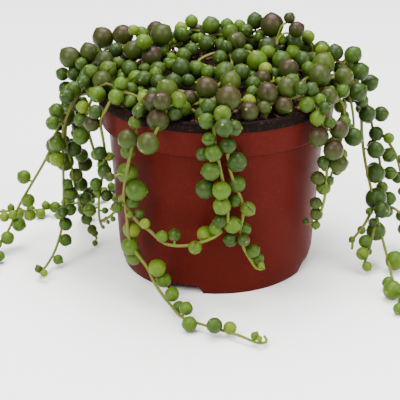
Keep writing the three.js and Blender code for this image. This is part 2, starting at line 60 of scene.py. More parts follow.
# ---------------------------------------------------------------- the pot
# A nursery pot, thermoformed from a two-layer sheet of polypropylene: brick red outside and
# black inside, with a collar, a rolled rim that turns the black side out, and four notches
# in its foot with a drain hole in each.
POT_SIDES = 96
POT_WALL = 1.0
POT_FLOOR = [(43.1, 0.0), (45.2, 7.5), (48.8, 66.5), (52.0, 67.6), (53.2, 78.4)]
POT_ROLL = [(53.9, 78.9), (54.2, 79.6), (54.2, 81.9), (53.9, 82.6), (53.3, 83.0)]
POT_MOUTH = [(51.7, 81.0), (51.7, 90.0)]
POT_RIM_FOOT = 78.6
NOTCH_AZIMUTHS = [-17.7, 72.3, 162.3, 252.3]
NOTCH_LOW_WIDTH = 17.0
NOTCH_HIGH_WIDTH = 12.0
NOTCH_HEIGHT = 4.0
NOTCH_INNER = 35.0
NOTCH_OUTER = 56.0
NOTCH_ROUND = 1.6
DRAIN_RADIUS = 2.5
DRAIN_DISTANCE = 39.0
DRAIN_DEPTH = 16.0
DRAIN_SIDES = 24
FOOT_BAND = (-1.0, 6.0)
COLLAR_BAND = (60.0, 70.0)
BRIM_BAND = (82.9, 90.0)
BRIM_INNER = 52.0


def polar(radius, azimuth, z):
    """A point by its azimuth, which is 0 at the front and turns towards +X."""
    angle = azimuth * (math.pi / 180)
    return np.array([radius * math.sin(angle), -radius * math.cos(angle), z])


def work_on(piece):
    """Makes a piece the only one selected."""
    bpy.ops.object.select_all(action="DESELECT")
    piece.select_set(True)
    bpy.context.view_layer.objects.active = piece


def turned_solid(name, rings, sides):
    """A round solid, drawn up ring by ring from its underside."""
    bpy.ops.object.select_all(action="DESELECT")
    radius, height = rings[0]
    bpy.ops.mesh.primitive_circle_add(vertices=sides, radius=radius * MM, fill_type="NGON")
    turned = bpy.context.object
    turned.name = turned.data.name = name
    bpy.ops.object.mode_set(mode="EDIT")
    bpy.ops.transform.translate(value=(0, 0, height * MM))
    for next_radius, next_height in rings[1:]:
        rise = (0, 0, (next_height - height) * MM)
        bpy.ops.mesh.extrude_region_move(TRANSFORM_OT_translate={"value": rise})
        share = next_radius / radius
        place = (0, 0, next_height * MM)
        bpy.ops.transform.resize(value=(share, share, 1), center_override=place)
        radius, height = next_radius, next_height
    bpy.ops.mesh.select_all(action="SELECT")
    bpy.ops.mesh.normals_make_consistent(inside=False)
    bpy.ops.object.mode_set(mode="OBJECT")
    return turned


def notch_wedge(azimuth, grow):
    """The arched wedge that a notch takes out of the foot, wider all round by grow."""
    bpy.ops.object.select_all(action="DESELECT")
    inner = NOTCH_INNER - grow
    height = NOTCH_HEIGHT + grow + 1
    size = (NOTCH_LOW_WIDTH + 2 * grow, NOTCH_OUTER - inner, height)
    bpy.ops.mesh.primitive_cube_add(size=1)
    wedge = bpy.context.object
    bpy.ops.object.mode_set(mode="EDIT")
    bpy.ops.transform.resize(value=[edge * MM for edge in size])
    middle = (0, -(inner + NOTCH_OUTER) / 2 * MM, (height / 2 - 1) * MM)
    bpy.ops.transform.translate(value=middle)
    select_in(wedge, "faces", lambda face: face.normal.z > 0.9)
    share = (NOTCH_HIGH_WIDTH + 2 * grow) / size[0]
    bpy.ops.transform.resize(value=(share, 1, 1), center_override=(0, 0, 0))
    select_in(wedge, "edges", lambda edge: is_long_top_edge(edge, inner))
    bpy.ops.mesh.bevel(offset=NOTCH_ROUND * MM, segments=4)
    bpy.ops.object.mode_set(mode="OBJECT")
    wedge.rotation_euler.z = math.radians(azimuth)
    bpy.ops.object.transform_apply(location=True, rotation=True, scale=True)
    return wedge


def is_long_top_edge(edge, inner):
    """Whether an edge runs in towards the axis along the top of a notch's wedge."""
    low, high = sorted(vert.co.y for vert in edge.verts)
    return edge.verts[0].co.z > 0 and edge.verts[1].co.z > 0 and high - low > 1 * MM


def select_in(piece, kind, test):
    """In edit mode, selects the faces or edges that pass a test, and nothing else."""
    bpy.ops.mesh.select_mode(type="FACE" if kind == "faces" else "EDGE")
    bpy.ops.mesh.select_all(action="DESELECT")
    shape = bmesh.from_edit_mesh(piece.data)
    shape.normal_update()
    for element in getattr(shape, kind):
        if test(element):
            element.select_set(True)
    bmesh.update_edit_mesh(piece.data)


def bevel_edges(piece, angle, band, width, segments, reach=math.inf):
    """In edit mode, bevels the edges that turn by an angle within a band of heights."""

    def turns(edge):
        if not edge.is_manifold or edge.calc_face_angle() <= math.radians(angle):
            return False
        low, high = sorted(vert.co.z for vert in edge.verts)
        within = low > band[0] * MM and high < band[1] * MM
        return within and edge.verts[0].co.xy.length < reach * MM

    select_in(piece, "edges", turns)
    bpy.ops.mesh.bevel(offset=width * MM, segments=segments, clamp_overlap=True)


def cut_away(piece, cutter):
    """Takes the cutter's shape out of a piece, and puts the cutter away."""
    work_on(piece)
    modifier = piece.modifiers.new("cut", "BOOLEAN")
    modifier.operation = "DIFFERENCE"
    modifier.solver = "EXACT"
    modifier.object = cutter
    bpy.ops.object.modifier_apply(modifier="cut")
    bpy.data.objects.remove(cutter)


def linear(code):
    """An sRGB hex colour as the linear colour that a shader takes."""
    channels = [int(code[k : k + 2], 16) / 255 for k in (1, 3, 5)]
    curved = [c / 12.92 if c <= 0.04045 else ((c + 0.055) / 1.055) ** 2.4 for c in channels]
    return (*curved, 1.0)


def add_node(material, kind, inputs=None, **settings):
    """Adds one node with its settings. An input is a value, or another node's output."""
    node = material.node_tree.nodes.new(kind)
    for name, value in settings.items():
        setattr(node, name, value)
    for socket, value in (inputs or {}).items():
        if isinstance(value, bpy.types.NodeSocket):
            material.node_tree.links.new(value, node.inputs[socket])
        else:
            node.inputs[socket].default_value = value
    return node


def noise(material, size, detail):
    """A noise in the object's own space: its size in millimetres, and its finer layers."""
    place = add_node(material, "ShaderNodeTexCoord").outputs["Object"]
    inputs = {"Vector": place, "Scale": 1 / (size * MM), "Detail": detail}
    return add_node(material, "ShaderNodeTexNoise", inputs).outputs["Fac"]


def ranged(material, value, span, reach=(0.0, 1.0)):
    """A value brought from one span to another, and held within it."""
    inputs = {"Value": value, "From Min": span[0], "From Max": span[1]}
    inputs |= {"To Min": reach[0], "To Max": reach[1]}
    return add_node(material, "ShaderNodeMapRange", inputs).outputs["Result"]


def mixed(material, share, first, second):
    """Two colours, mixed by the share of the second."""
    inputs = {"Factor": share, "A": first, "B": second}
    return add_node(material, "ShaderNodeMix", inputs, data_type="RGBA").outputs["Result"]


def worked_out(material, operation, *values, **settings):
    """One sum on up to three values."""
    inputs = dict(enumerate(values))
    node = add_node(material, "ShaderNodeMath", inputs, operation=operation, **settings)
    return node.outputs["Value"]


def ramped(material, value, stops):
    """A value as a colour, by stops given as pairs of place and hex colour."""
    ramp = add_node(material, "ShaderNodeValToRGB", {"Fac": value})
    elements = ramp.color_ramp.elements
    while len(elements) > 1:
        elements.remove(elements[-1])
    elements[0].position = stops[0][0]
    elements[0].color = linear(stops[0][1])
    for place, code in stops[1:]:
        elements.new(place).color = linear(code)
    return ramp.outputs["Color"]


def bumped(material, height, distance, strength):
    """The bumps that a height makes, at most so many millimetres high."""
    inputs = {"Height": height, "Distance": distance * MM, "Strength": strength}
    return add_node(material, "ShaderNodeBump", inputs).outputs["Normal"]


def new_material(name):
    """A material with no nodes yet."""
    material = bpy.data.materials.new(name)
    material.use_nodes = True
    material.node_tree.nodes.clear()
    return material


def finish_material(material, inputs):
    """Gives a material the surface that its shader's inputs describe."""
    shader = add_node(material, "ShaderNodeBsdfPrincipled", inputs)
    add_node(material, "ShaderNodeOutputMaterial", {"Surface": shader.outputs["BSDF"]})


# Thermoformed polypropylene, gloss: the sheet keeps the shine of its rollers, and shows only
# soft waves and a little dust.
def formed_sheet(name, code, dusty_code, roughness):
    material = new_material(name)
    # The sheet thins and thickens over about 15 mm. Dust and fine rubbing are drawn at 1.2 mm.
    waves = noise(material, 15, 1.0)
    dust = noise(material, 1.2, 4.0)
    dusty = ranged(material, dust, (0.55, 0.8))
    finish_material(
        material,
        {
            "Base Color": mixed(material, dusty, linear(code), linear(dusty_code)),
            "Roughness": ranged(
                material, dust, (0.3, 0.8), (roughness - 0.05, roughness + 0.12)
            ),
            "Normal": bumped(material, waves, 0.12, 0.3),
            "IOR": 1.35,
            "Specular IOR Level": 0.03,
        },
    )
    return material


red_sheet = formed_sheet("thermoformed_polypropylene_red", "#43120d", "#511c14", 0.38)
black_sheet = formed_sheet("thermoformed_polypropylene_black", "#100a08", "#36241b", 0.36)

pot = turned_solid("nursery_pot", POT_FLOOR + POT_ROLL, POT_SIDES)
hollow = turned_solid(
    "hollow", [(r - POT_WALL, max(z, POT_WALL)) for r, z in POT_FLOOR] + POT_MOUTH, POT_SIDES
)
for material in (red_sheet, black_sheet):
    pot.data.materials.append(material)
    hollow.data.materials.append(material)
for azimuth in NOTCH_AZIMUTHS:
    cut_away(pot, notch_wedge(azimuth, 0))
    cut_away(hollow, notch_wedge(azimuth, POT_WALL))
work_on(pot)
bpy.ops.object.mode_set(mode="EDIT")
bevel_edges(pot, 25, FOOT_BAND, 0.7, 3)
bevel_edges(pot, 25, COLLAR_BAND, 0.5, 2)
bpy.ops.object.mode_set(mode="OBJECT")
hollow.data.polygons.foreach_set("material_index", [1] * len(hollow.data.polygons))
cut_away(pot, hollow)
for azimuth in NOTCH_AZIMUTHS:
    bpy.ops.object.select_all(action="DESELECT")
    drain = Vector(polar(DRAIN_DISTANCE, azimuth, 0)) * MM
    bpy.ops.mesh.primitive_cylinder_add(
        vertices=DRAIN_SIDES, radius=DRAIN_RADIUS * MM, depth=DRAIN_DEPTH * MM, location=drain
    )
    cut_away(pot, bpy.context.object)
work_on(pot)
bpy.ops.object.mode_set(mode="EDIT")
bevel_edges(pot, 60, BRIM_BAND, 0.5, 3, BRIM_INNER)
select_in(pot, "faces", lambda face: face.calc_center_median().z > POT_RIM_FOOT * MM)
pot.active_material_index = 1
bpy.ops.object.material_slot_assign()
bpy.ops.object.mode_set(mode="OBJECT")
bpy.ops.object.shade_smooth_by_angle(angle=math.radians(30))
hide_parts("pot")
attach(pot, "root")

# ---------------------------------------------------------------- the potting mix
# Dark peat that fills the pot and is heaped towards the back, with crumbs on its face.
# It holds the roots, and shows between the pearls.
SOIL_GAP = 0.4
SOIL_LIFT = 0.3
SOIL_EDGE_HEIGHT = 80.0
SOIL_EDGE_RADIUS = 51.0
SOIL_MOUND = 14.0
SOIL_BACK_SHARE = 0.32
SOIL_BACK_CENTRE = 2.0
SOIL_BACK_REACH = 34.0
SOIL_RINGS = 34
SOIL_RIM = (SOIL_EDGE_RADIUS - 0.3, 79.4)
SOIL_FACE = 79.0
SOIL_SINK = 0.4
CRUMB_HEIGHT = 0.9
CRUMB_REACH = (-1, 0.6)
CRUMB_EDGE = 2.0
CRUMB_SEED = 7


def soil_height(x, y):
    """How high the mix stands at a spot."""
    rho = math.hypot(x, y)
    toward_back = max(-1, min(1, (y - SOIL_BACK_CENTRE) / SOIL_BACK_REACH))
    share = 1 - SOIL_BACK_SHARE + SOIL_BACK_SHARE * math.sin((math.pi / 2) * toward_back)
    fall = max(0, 1 - (rho / SOIL_EDGE_RADIUS) ** 4)
    return SOIL_EDGE_HEIGHT + SOIL_MOUND * fall * share


# Peat: matt, almost black, with browner crumbs about 2 mm across.
peat = new_material("peat_potting_mix")
peat_crumbs = noise(peat, 2, 5.0)
peat_stops = [(0.3, "#070504"), (0.5, "#130c09"), (0.62, "#26180f"), (0.75, "#4a2d18")]
finish_material(
    peat,
    {
        "Base Color": ramped(peat, peat_crumbs, peat_stops),
        "Roughness": 0.95,
        "Specular IOR Level": 0.1,
        "Normal": bumped(peat, peat_crumbs, 0.8, 1.0),
    },
)

soil_inset = POT_WALL + SOIL_GAP
soil_rings = [(r - soil_inset, max(z, soil_inset) + SOIL_LIFT) for r, z in POT_FLOOR[:4]]
soil = turned_solid("potting_mix", [*soil_rings, SOIL_RIM], POT_SIDES)
soil.data.materials.append(peat)
for azimuth in NOTCH_AZIMUTHS:
    cut_away(soil, notch_wedge(azimuth, soil_inset))
work_on(soil)
bpy.ops.object.mode_set(mode="EDIT")
select_in(soil, "faces", lambda face: face.calc_center_median().z > SOIL_FACE * MM)
for _ in range(SOIL_RINGS):
    bpy.ops.mesh.inset(thickness=SOIL_EDGE_RADIUS / (SOIL_RINGS + 1) * MM)
bpy.ops.object.mode_set(mode="OBJECT")
crumb_dice = np.random.default_rng(CRUMB_SEED)
for vertex in soil.data.vertices:
    if vertex.co.z > SOIL_FACE * MM:
        x, y = vertex.co.x / MM, vertex.co.y / MM
        inward = min(1, (SOIL_EDGE_RADIUS - math.hypot(x, y)) / CRUMB_EDGE)
        lift = CRUMB_HEIGHT * inward * crumb_dice.uniform(*CRUMB_REACH)
        vertex.co.z = (soil_height(x, y) - SOIL_SINK + lift) * MM
bpy.ops.object.shade_smooth()
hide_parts("soil")
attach(soil, "root")

# ---------------------------------------------------------------- bark and coir
# Chips of composted bark and short hairs of coir, loose on the mix. They give the orange
# glints between the pearls and along the rim.
CHIP_COUNT = 420
CHIP_SIZE = (1.0, 2.6)
CHIP_SHAPE = (1.0, 0.5, 0.28)
CHIP_REACH = 50.2
CHIP_LIFT = 0.1
CHIP_TILT = 0.5
CHIP_ROUGHNESS = 0.14
CHIP_SEEDS = (5, 11)
HAIR_COUNT = 90
HAIR_STEPS = 4
HAIR_OUTWARD = 0.3
HAIR_LENGTH = (4.0, 9.0)
HAIR_RADIUS = 0.16
HAIR_BEND = 50
HAIR_REACH = 50.0
HAIR_LIMIT = 50.4
HAIR_LIFT = (0.3, 1.2)

# Composted bark: fibrous and matt, orange where it is freshly broken.
bark = new_material("composted_bark")
bark_stops = [(0.3, "#1f140c"), (0.45, "#4c2f16"), (0.58, "#7c5026"), (0.72, "#a0723c")]
bark_colours = ramped(bark, noise(bark, 3, 3.0), bark_stops)
finish_material(bark, {"Base Color": bark_colours, "Roughness": 0.85})


def join_pieces(copies, name):
    """Joins copies into one piece with a name of its own."""
    bpy.ops.object.select_all(action="DESELECT")
    for copy in copies:
        copy.select_set(True)
    bpy.context.view_layer.objects.active = copies[0]
    if len(copies) > 1:
        bpy.ops.object.join()
    joined = bpy.context.object
    joined.name = joined.data.name = name
    return joined


def placed_copy(model, matrix):
    """A copy of a model with its own mesh, put in place."""
    copy = model.copy()
    copy.data = model.data.copy()
    copy.data.transform(matrix)
    bpy.context.scene.collection.objects.link(copy)
    return copy


bpy.ops.object.select_all(action="DESELECT")
bpy.ops.mesh.primitive_cube_add(size=1)
chip_model = bpy.context.object
bpy.ops.object.mode_set(mode="EDIT")
bpy.ops.mesh.subdivide(number_cuts=1)
bpy.ops.transform.resize(value=CHIP_SHAPE)
bpy.ops.transform.vertex_random(offset=CHIP_ROUGHNESS, seed=CHIP_SEEDS[0])
bpy.ops.object.mode_set(mode="OBJECT")
chip_model.data.materials.append(bark)
chip_dice = np.random.default_rng(CHIP_SEEDS[1])
chips = []
for _ in range(CHIP_COUNT):
    radius = CHIP_REACH * math.sqrt(chip_dice.uniform(0, 1))
    spot = polar(radius, chip_dice.uniform(0, 360), 0)
    spot[2] = soil_height(spot[0], spot[1]) + CHIP_LIFT
    size = chip_dice.uniform(*CHIP_SIZE) * MM
    turn = Matrix.Rotation(chip_dice.uniform(0, 2 * math.pi), 4, "Z")
    tilt = Matrix.Rotation(chip_dice.uniform(-CHIP_TILT, CHIP_TILT), 4, "X")
    matrix = Matrix.Translation(Vector(spot) * MM) @ turn @ tilt @ Matrix.Scale(size, 4)
    chips.append(placed_copy(chip_model, matrix))
bpy.data.objects.remove(chip_model)
bark_chips = join_pieces(chips, "bark_chips")
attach(bark_chips, "root")


def tube(name, points, radii, resolution=1):
    """A round tube along a line of points in millimetres, as a mesh."""
    curve = bpy.data.curves.new(name, "CURVE")
    curve.dimensions = "3D"
    curve.bevel_depth = MM
    curve.bevel_resolution = resolution
    curve.use_fill_caps = True
    spline = curve.splines.new("POLY")
    spline.points.add(len(points) - 1)
    for spline_point, point, radius in zip(spline.points, points, radii):
        spline_point.co = (*(Vector(point) * MM), 1)
        spline_point.radius = radius
    made = bpy.data.objects.new(name, curve)
    bpy.context.scene.collection.objects.link(made)
    work_on(made)
    bpy.ops.object.convert(target="MESH")
    return bpy.context.object


hairs = []
for _ in range(HAIR_COUNT):
    radius = HAIR_REACH * math.sqrt(chip_dice.uniform(HAIR_OUTWARD, 1))
    azimuth = chip_dice.uniform(0, 360)
    heading = chip_dice.uniform(0, 360)
    bend = chip_dice.uniform(-HAIR_BEND, HAIR_BEND)
    length = chip_dice.uniform(*HAIR_LENGTH)
    spot = polar(radius, azimuth, 0)
    line = []
    for k in range(HAIR_STEPS + 1):
        ahead = polar(length / HAIR_STEPS, heading + bend * k / HAIR_STEPS, 0)
        spot = spot + ahead
        reach = math.hypot(spot[0], spot[1])
        if reach > HAIR_LIMIT:
            spot[:2] *= HAIR_LIMIT / reach
        height = soil_height(spot[0], spot[1]) + HAIR_LIFT[0]
        height += HAIR_LIFT[1] * math.sin(math.pi * k / HAIR_STEPS)
        line.append((spot[0], spot[1], height))
    hairs.append(tube("hair", line, [HAIR_RADIUS] * len(line), 0))
coir_hairs = join_pieces(hairs, "coir_hairs")
coir_hairs.data.materials.append(bark)
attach(coir_hairs, "root")

# ---------------------------------------------------------------- the routes of the strings
# Each string is a thin fleshy stem that roots in the mix, creeps to the rim, and hangs down
# outside to trail on the table. The routes are the CAD model's own, in millimetres.
ROOT_RADIUS = 46.0
ROOT_DEPTH = 8.0
ROOT_STAND = 2.0
POT_HEIGHT = 83.0
RIM_RADIUS = 54.0
SITE_STEP = 2.0
FIRST_SITE = 6.0
CURVE_STEPS = 200

# azimuth is where a string crosses the rim, lead is how far round it has crept before that,
# rise is its height over the rim, and radius and spacing are its pearls', from rim to tip.
TRAILS = [
    {
        "name": "string_front_left", "azimuth": -33, "lead": 24, "rise": 5.5,
        "radius": (4.8, 2.5), "spacing": (8, 12.5),
        "points": [
            (-32, -49.5, 84), (-33, -49, 77.5), (-35, -47.5, 70), (-37, -46.5, 60.5),
            (-38.5, -45.5, 52), (-39, -44.5, 46), (-38, -45.5, 39), (-37.5, -45.5, 31),
            (-36.5, -46, 26), (-33.5, -48, 21.5), (-29, -50.5, 16), (-26.5, -52, 10.5),
            (-22.5, -56, 6), (-18.5, -62, 4), (-13.5, -71.5, 3.6), (-7, -76, 3.6), (2, -81, 3.4),
            (10, -85, 3), (17, -90, 2.6), (21, -89, 2.6), (20, -86, 3.4),
        ],
        "branches": [
            {
                "radius": (2.2, 3.2), "spacing": (11.5, 10),
                "points": [
                    (-38.8, -44.8, 44.5), (-36.5, -45.5, 40.5), (-33, -48.5, 37),
                    (-28, -51.5, 34.5), (-22, -54, 30), (-15.8, -55, 29), (-8.6, -56, 30.3),
                    (-1, -56, 33.3), (2.7, -55.2, 36),
                ],
            },
        ],
    },
    {
        "name": "string_centre_left", "azimuth": -2, "lead": 0, "rise": 6,
        "radius": (4.6, 4.2), "spacing": (7, 7),
        "points": [
            (-1, -58.5, 83), (0, -59, 74), (2, -58, 64), (4, -57, 54), (5, -57, 47),
            (5, -57.5, 41),
        ],
    },
    {
        "name": "string_centre_right", "azimuth": 5, "lead": 0, "rise": 6,
        "radius": (4.4, 2.4), "spacing": (7, 7),
        "points": [
            (4.4, -58.5, 82), (4.4, -58.3, 76), (4.8, -57.5, 70), (6.4, -56, 61.5), (9.5, -55, 53),
            (11.4, -54.5, 47), (11.2, -54, 41), (10.5, -53.5, 35), (11.7, -53, 28),
            (14.8, -52, 21.5), (18, -51.5, 16.6), (21, -51.5, 17),
        ],
    },
    {
        "name": "string_right_front", "azimuth": 46, "lead": -28, "rise": 6,
        "radius": (4.8, 1.9), "spacing": (6.5, 7.5),
        "points": [
            (43, -40, 82), (46, -39, 72), (47, -37, 62), (47.5, -35.5, 52), (47, -35, 42),
            (45, -34, 33), (42, -34, 28),
        ],
    },
    {
        "name": "string_right_main", "azimuth": 96, "lead": -9, "rise": 10,
        "radius": (4.4, 3.9), "spacing": (8, 14),
        "points": [
            (58, 5, 90), (62, 2, 82), (65, -2, 72), (66, -4, 60), (68, -6, 48), (71, -8, 36),
            (74, -11, 24), (77, -15, 13), (79, -22, 6), (79, -34, 4), (80, -46, 4),
            (81, -54, 4),
        ],
        "branches": [
            {
                "radius": (2.4, 1.8), "spacing": (9, 9),
                "points": [
                    (72.8, -9.8, 29), (71, -11.5, 26), (68.5, -14, 22), (66, -16, 19),
                    (63, -17.5, 15.5), (62.5, -18, 10.5),
                ],
            },
            {
                "radius": (3.0, 2.4), "spacing": (9, 9),
                "points": [(74, -11, 24), (72, -15, 16), (70, -18, 9), (68, -21, 4.5)],
            },
        ],
    },
    {
        "name": "string_right_second", "azimuth": 107, "lead": 0, "rise": 9,
        "radius": (4.2, 3.0), "spacing": (8, 12.5),
        "points": [
            (60, 17, 86), (67, 15, 77), (71, 13, 66), (74, 12, 54), (77, 9, 42), (78, 7, 31),
            (80, 6, 23), (84, 6, 21), (88, 5, 18), (91, 3, 13), (93, -1, 8), (94, -8, 4.5),
            (94, -16, 4),
        ],
        "branches": [
            {
                "radius": (3.2, 2.4), "spacing": (9, 10),
                "points": [
                    (73, 12.3, 58), (75.5, 12, 57), (78.5, 11.5, 54.5), (81.3, 11, 51),
                    (84, 10, 46.7), (86, 9.5, 41), (87.5, 9, 35), (88, 8.5, 30),
                ],
            },
        ],
    },
    {
        "name": "string_right_outer", "azimuth": 80, "lead": 0, "rise": 6,
        "radius": (3.8, 2.6), "spacing": (8, 10),
        "points": [(58, -9, 82), (60.5, -10.5, 73), (61.3, -12, 62.5)],
    },
    {
        "name": "string_right_short", "azimuth": 64, "lead": 0, "rise": 6,
        "radius": (3.8, 2.4), "spacing": (8, 10),
        "points": [
            (54, -23, 82), (55, -23, 75), (54.5, -25, 68), (53, -26, 62), (51.5, -27, 55),
            (50, -27, 49),
        ],
    },
    {
        "name": "string_right_back", "azimuth": 120, "lead": 0, "rise": 8,
        "radius": (4.4, 3.4), "spacing": (8, 9),
        "points": [(53, 31, 85), (58, 30, 76), (61, 28, 66), (62, 27, 56)],
    },
    {
        "name": "string_left_outer", "azimuth": -98, "lead": 0, "rise": 9,
        "radius": (4.6, 2.9), "spacing": (6.5, 15),
        "points": [
            (-60, 8, 87), (-66, 9, 78), (-71, 7, 66), (-75, 4, 55), (-79, 2, 46), (-86, 3, 34),
            (-93, 4, 22), (-98, 3, 11), (-102, -4, 5), (-103, -15, 4), (-103, -25, 4),
        ],
    },
    {
        "name": "string_left_front", "azimuth": -80, "lead": 0, "rise": 7,
        "radius": (4.4, 2.0), "spacing": (6.5, 12.5),
        "points": [
            (-58, -11, 85), (-64, -12, 76), (-68, -11, 66), (-69, -10, 54), (-69.5, -9, 42),
            (-70, -9, 30), (-71, -11, 18), (-74, -15, 8), (-77, -23, 4), (-79, -31, 4),
        ],
    },
    {
        "name": "string_left_middle", "azimuth": -89, "lead": 0, "rise": 8,
        "radius": (4.4, 1.8), "spacing": (6.5, 11),
        "points": [
            (-59, -2, 86), (-64.5, -4, 76), (-67.5, -5.5, 66), (-68, -6, 58), (-67, -5.5, 52),
            (-66, -4, 43), (-65, -3, 34), (-63, -1, 25), (-60.5, 1, 15.5), (-58.5, 4, 8.5),
            (-57, 5, 4.7),
        ],
    },
    {
        "name": "string_left_inner", "azimuth": -68, "lead": 0, "rise": 6,
        "radius": (3.8, 1.9), "spacing": (8, 11),
        "points": [
            (-54, -19, 82), (-57, -19, 73), (-56, -19, 67), (-54, -18, 58), (-51.7, -17, 51.5),
            (-51.2, -16.5, 43.5), (-52.8, -16, 35), (-53.2, -15, 25.5), (-52.6, -14, 20.5),
            (-51.4, -13, 18),
        ],
        "branches": [
            {
                "radius": (1.2, 1.6), "spacing": (4, 4),
                "points": [
                    (-52.8, -14.3, 22), (-50.6, -15.5, 23.5), (-48, -17.5, 26),
                    (-45.5, -20.5, 29.5),
                ],
            },
        ],
    },
    {
        "name": "string_left_back", "azimuth": -108, "lead": 0, "rise": 10,
        "radius": (4.6, 2.4), "spacing": (6.5, 11),
        "points": [
            (-58, 18, 87), (-63, 19, 76), (-66, 18, 64), (-66, 16, 50), (-65, 15, 38),
            (-64, 18, 26), (-64, 25, 14), (-65, 36, 6), (-67, 46, 4), (-71, 50, 4),
            (-76, 47.5, 4), (-81.5, 44, 4), (-92, 40, 4), (-102.5, 39, 4), (-110, 38, 4),
        ],
        "branches": [
            {
                "radius": (2.6, 2.4), "spacing": (12, 12),
                "points": [
                    (-71, 50, 4), (-66, 55, 4), (-61.5, 60, 4), (-54.5, 70, 4), (-51, 77, 4),
                ],
            },
        ],
    },
    {
        "name": "string_left_short", "azimuth": -120, "lead": 0, "rise": 12,
        "radius": (4.8, 3.4), "spacing": (6.5, 7.5),
        "points": [(-54, 31, 89), (-61, 32, 80), (-65, 30, 70), (-66, 28, 60)],
    },
    {
        "name": "string_left_collar", "azimuth": -52, "lead": 11, "rise": 6,
        "radius": (3.8, 3.0), "spacing": (6.5, 7.5),
        "points": [
            (-46.5, -36, 82.5), (-49, -33.5, 76.5), (-48.5, -31.5, 69), (-48, -30, 62.5),
            (-48.7, -29, 55),
        ],
    },
]

HEAD_RIM_GAP = 1.2
HEAD_SHARE = 0.6
HEAD_LEAD_STEP = 9
HEAD_LEAD_INSET = 0.3
HEAD_LOW = 0.5
HEAD_GAIN = 0.3
HEAD_RIM_INSET = 1.5

BACK_FIRST_AZIMUTH = 136
BACK_TURN = 19
BACK_DROPS = [70, 40, 95, 55, 80]
BACK_RISE = 8
BACK_RADIUS = (4.4, 2.6)
BACK_SPACING = (9, 14)
BACK_START = (0.5, 1)
BACK_HIGHEST = 72
BACK_HANG = 12
BACK_WAIST = 60
BACK_HIGH_RADIUS = 58.5
BACK_LOW_RADIUS = 56
BACK_SWAY = 2.5
BACK_SWAY_LENGTH = 9
BACK_TABLE_DROP = 75
BACK_LANDING = (1, 6)
BACK_TABLE_RADIUS = 60
BACK_TABLE_STEP = 8
BACK_TABLE_TURN = 5
BACK_TABLE_COUNT = 2
BACK_TABLE_HEIGHT = 4

CROWN_RINGS = [(40.5, 7, 5), (30.5, 5, 30), (20, 3, 0), (8.5, 1, 50)]
CROWN_END_GAP = 6
CROWN_POINTS = 5
CROWN_WANDER = 1.5
CROWN_RISE = 4.4
CROWN_WAVE = 1.2
CROWN_SPACING = (6.5, 6.5)
CROWN_PEARL = (3.2, 4.9)
CROWN_LEAN = 70


def head_of(azimuth, lead, rise):
    """From its root, round beside the rim for a lead, and up over the rim."""
    start = azimuth + lead
    foot = polar(ROOT_RADIUS, start, 0)
    ground = soil_height(foot[0], foot[1])
    points = [
        polar(ROOT_RADIUS, start, ground - ROOT_DEPTH),
        polar(ROOT_RADIUS, start, ground + ROOT_STAND),
    ]
    if lead == 0:
        over = POT_HEIGHT + rise * HEAD_SHARE
        points.append(polar(ROOT_RADIUS + HEAD_RIM_GAP, azimuth, over))
    else:
        count = max(2, math.floor(abs(lead) / HEAD_LEAD_STEP + 0.5))
        for k in range(1, count):
            z = POT_HEIGHT + rise * (HEAD_LOW + (HEAD_GAIN * k) / count)
            points.append(polar(ROOT_RADIUS - HEAD_LEAD_INSET, start - (lead * k) / count, z))
    points.append(polar(RIM_RADIUS - HEAD_RIM_INSET, azimuth, POT_HEIGHT + rise))
    return points


def back_trail(k):
    """A string that hangs down the hidden back. The longest turn out on to the table."""
    azimuth = BACK_FIRST_AZIMUTH + k * BACK_TURN
    drop = BACK_DROPS[k]
    start_height = POT_HEIGHT + BACK_START[1]
    points = [polar(BACK_HIGH_RADIUS + BACK_START[0], azimuth, start_height)]
    z = BACK_HIGHEST
    while z > start_height - drop and z > BACK_HANG:
        radius = BACK_HIGH_RADIUS if z > BACK_WAIST else BACK_LOW_RADIUS
        sway = BACK_SWAY * math.sin(z / BACK_SWAY_LENGTH + k)
        points.append(polar(radius, azimuth + sway, z))
        z -= BACK_HANG
    if drop > BACK_TABLE_DROP:
        points.append(polar(BACK_LOW_RADIUS + BACK_LANDING[0], azimuth, BACK_LANDING[1]))
        for j in range(1, BACK_TABLE_COUNT + 1):
            radius = BACK_TABLE_RADIUS + BACK_TABLE_STEP * j
            points.append(polar(radius, azimuth + BACK_TABLE_TURN * j, BACK_TABLE_HEIGHT))
    return {
        "name": f"string_back_{k + 1}", "azimuth": azimuth, "lead": 0, "rise": BACK_RISE,
        "radius": BACK_RADIUS, "spacing": BACK_SPACING, "points": points,
    }


def crown_points(ring, ring_index, j):
    """A string that creeps over the mix, as an arc that wanders in and out, and up and down."""
    ring_radius, ring_count, ring_azimuth = ring
    start = ring_azimuth + (360 * j) / ring_count
    span = 360 / ring_count - (CROWN_END_GAP / ring_radius) * (180 / math.pi)
    foot = polar(ring_radius, start, 0)
    ground = soil_height(foot[0], foot[1])
    points = [
        np.array([foot[0], foot[1], ground - ROOT_DEPTH]),
        np.array([foot[0], foot[1], ground + ROOT_STAND]),
    ]
    for i in range(1, CROWN_POINTS + 1):
        radius = ring_radius + CROWN_WANDER * math.sin(2.1 * i + j + ring_index)
        point = polar(radius, start + (span * i) / CROWN_POINTS, 0)
        point[2] = soil_height(point[0], point[1]) + CROWN_RISE
        point[2] += CROWN_WAVE * math.sin(1.7 * i + 2 * j)
        points.append(point)
    return points


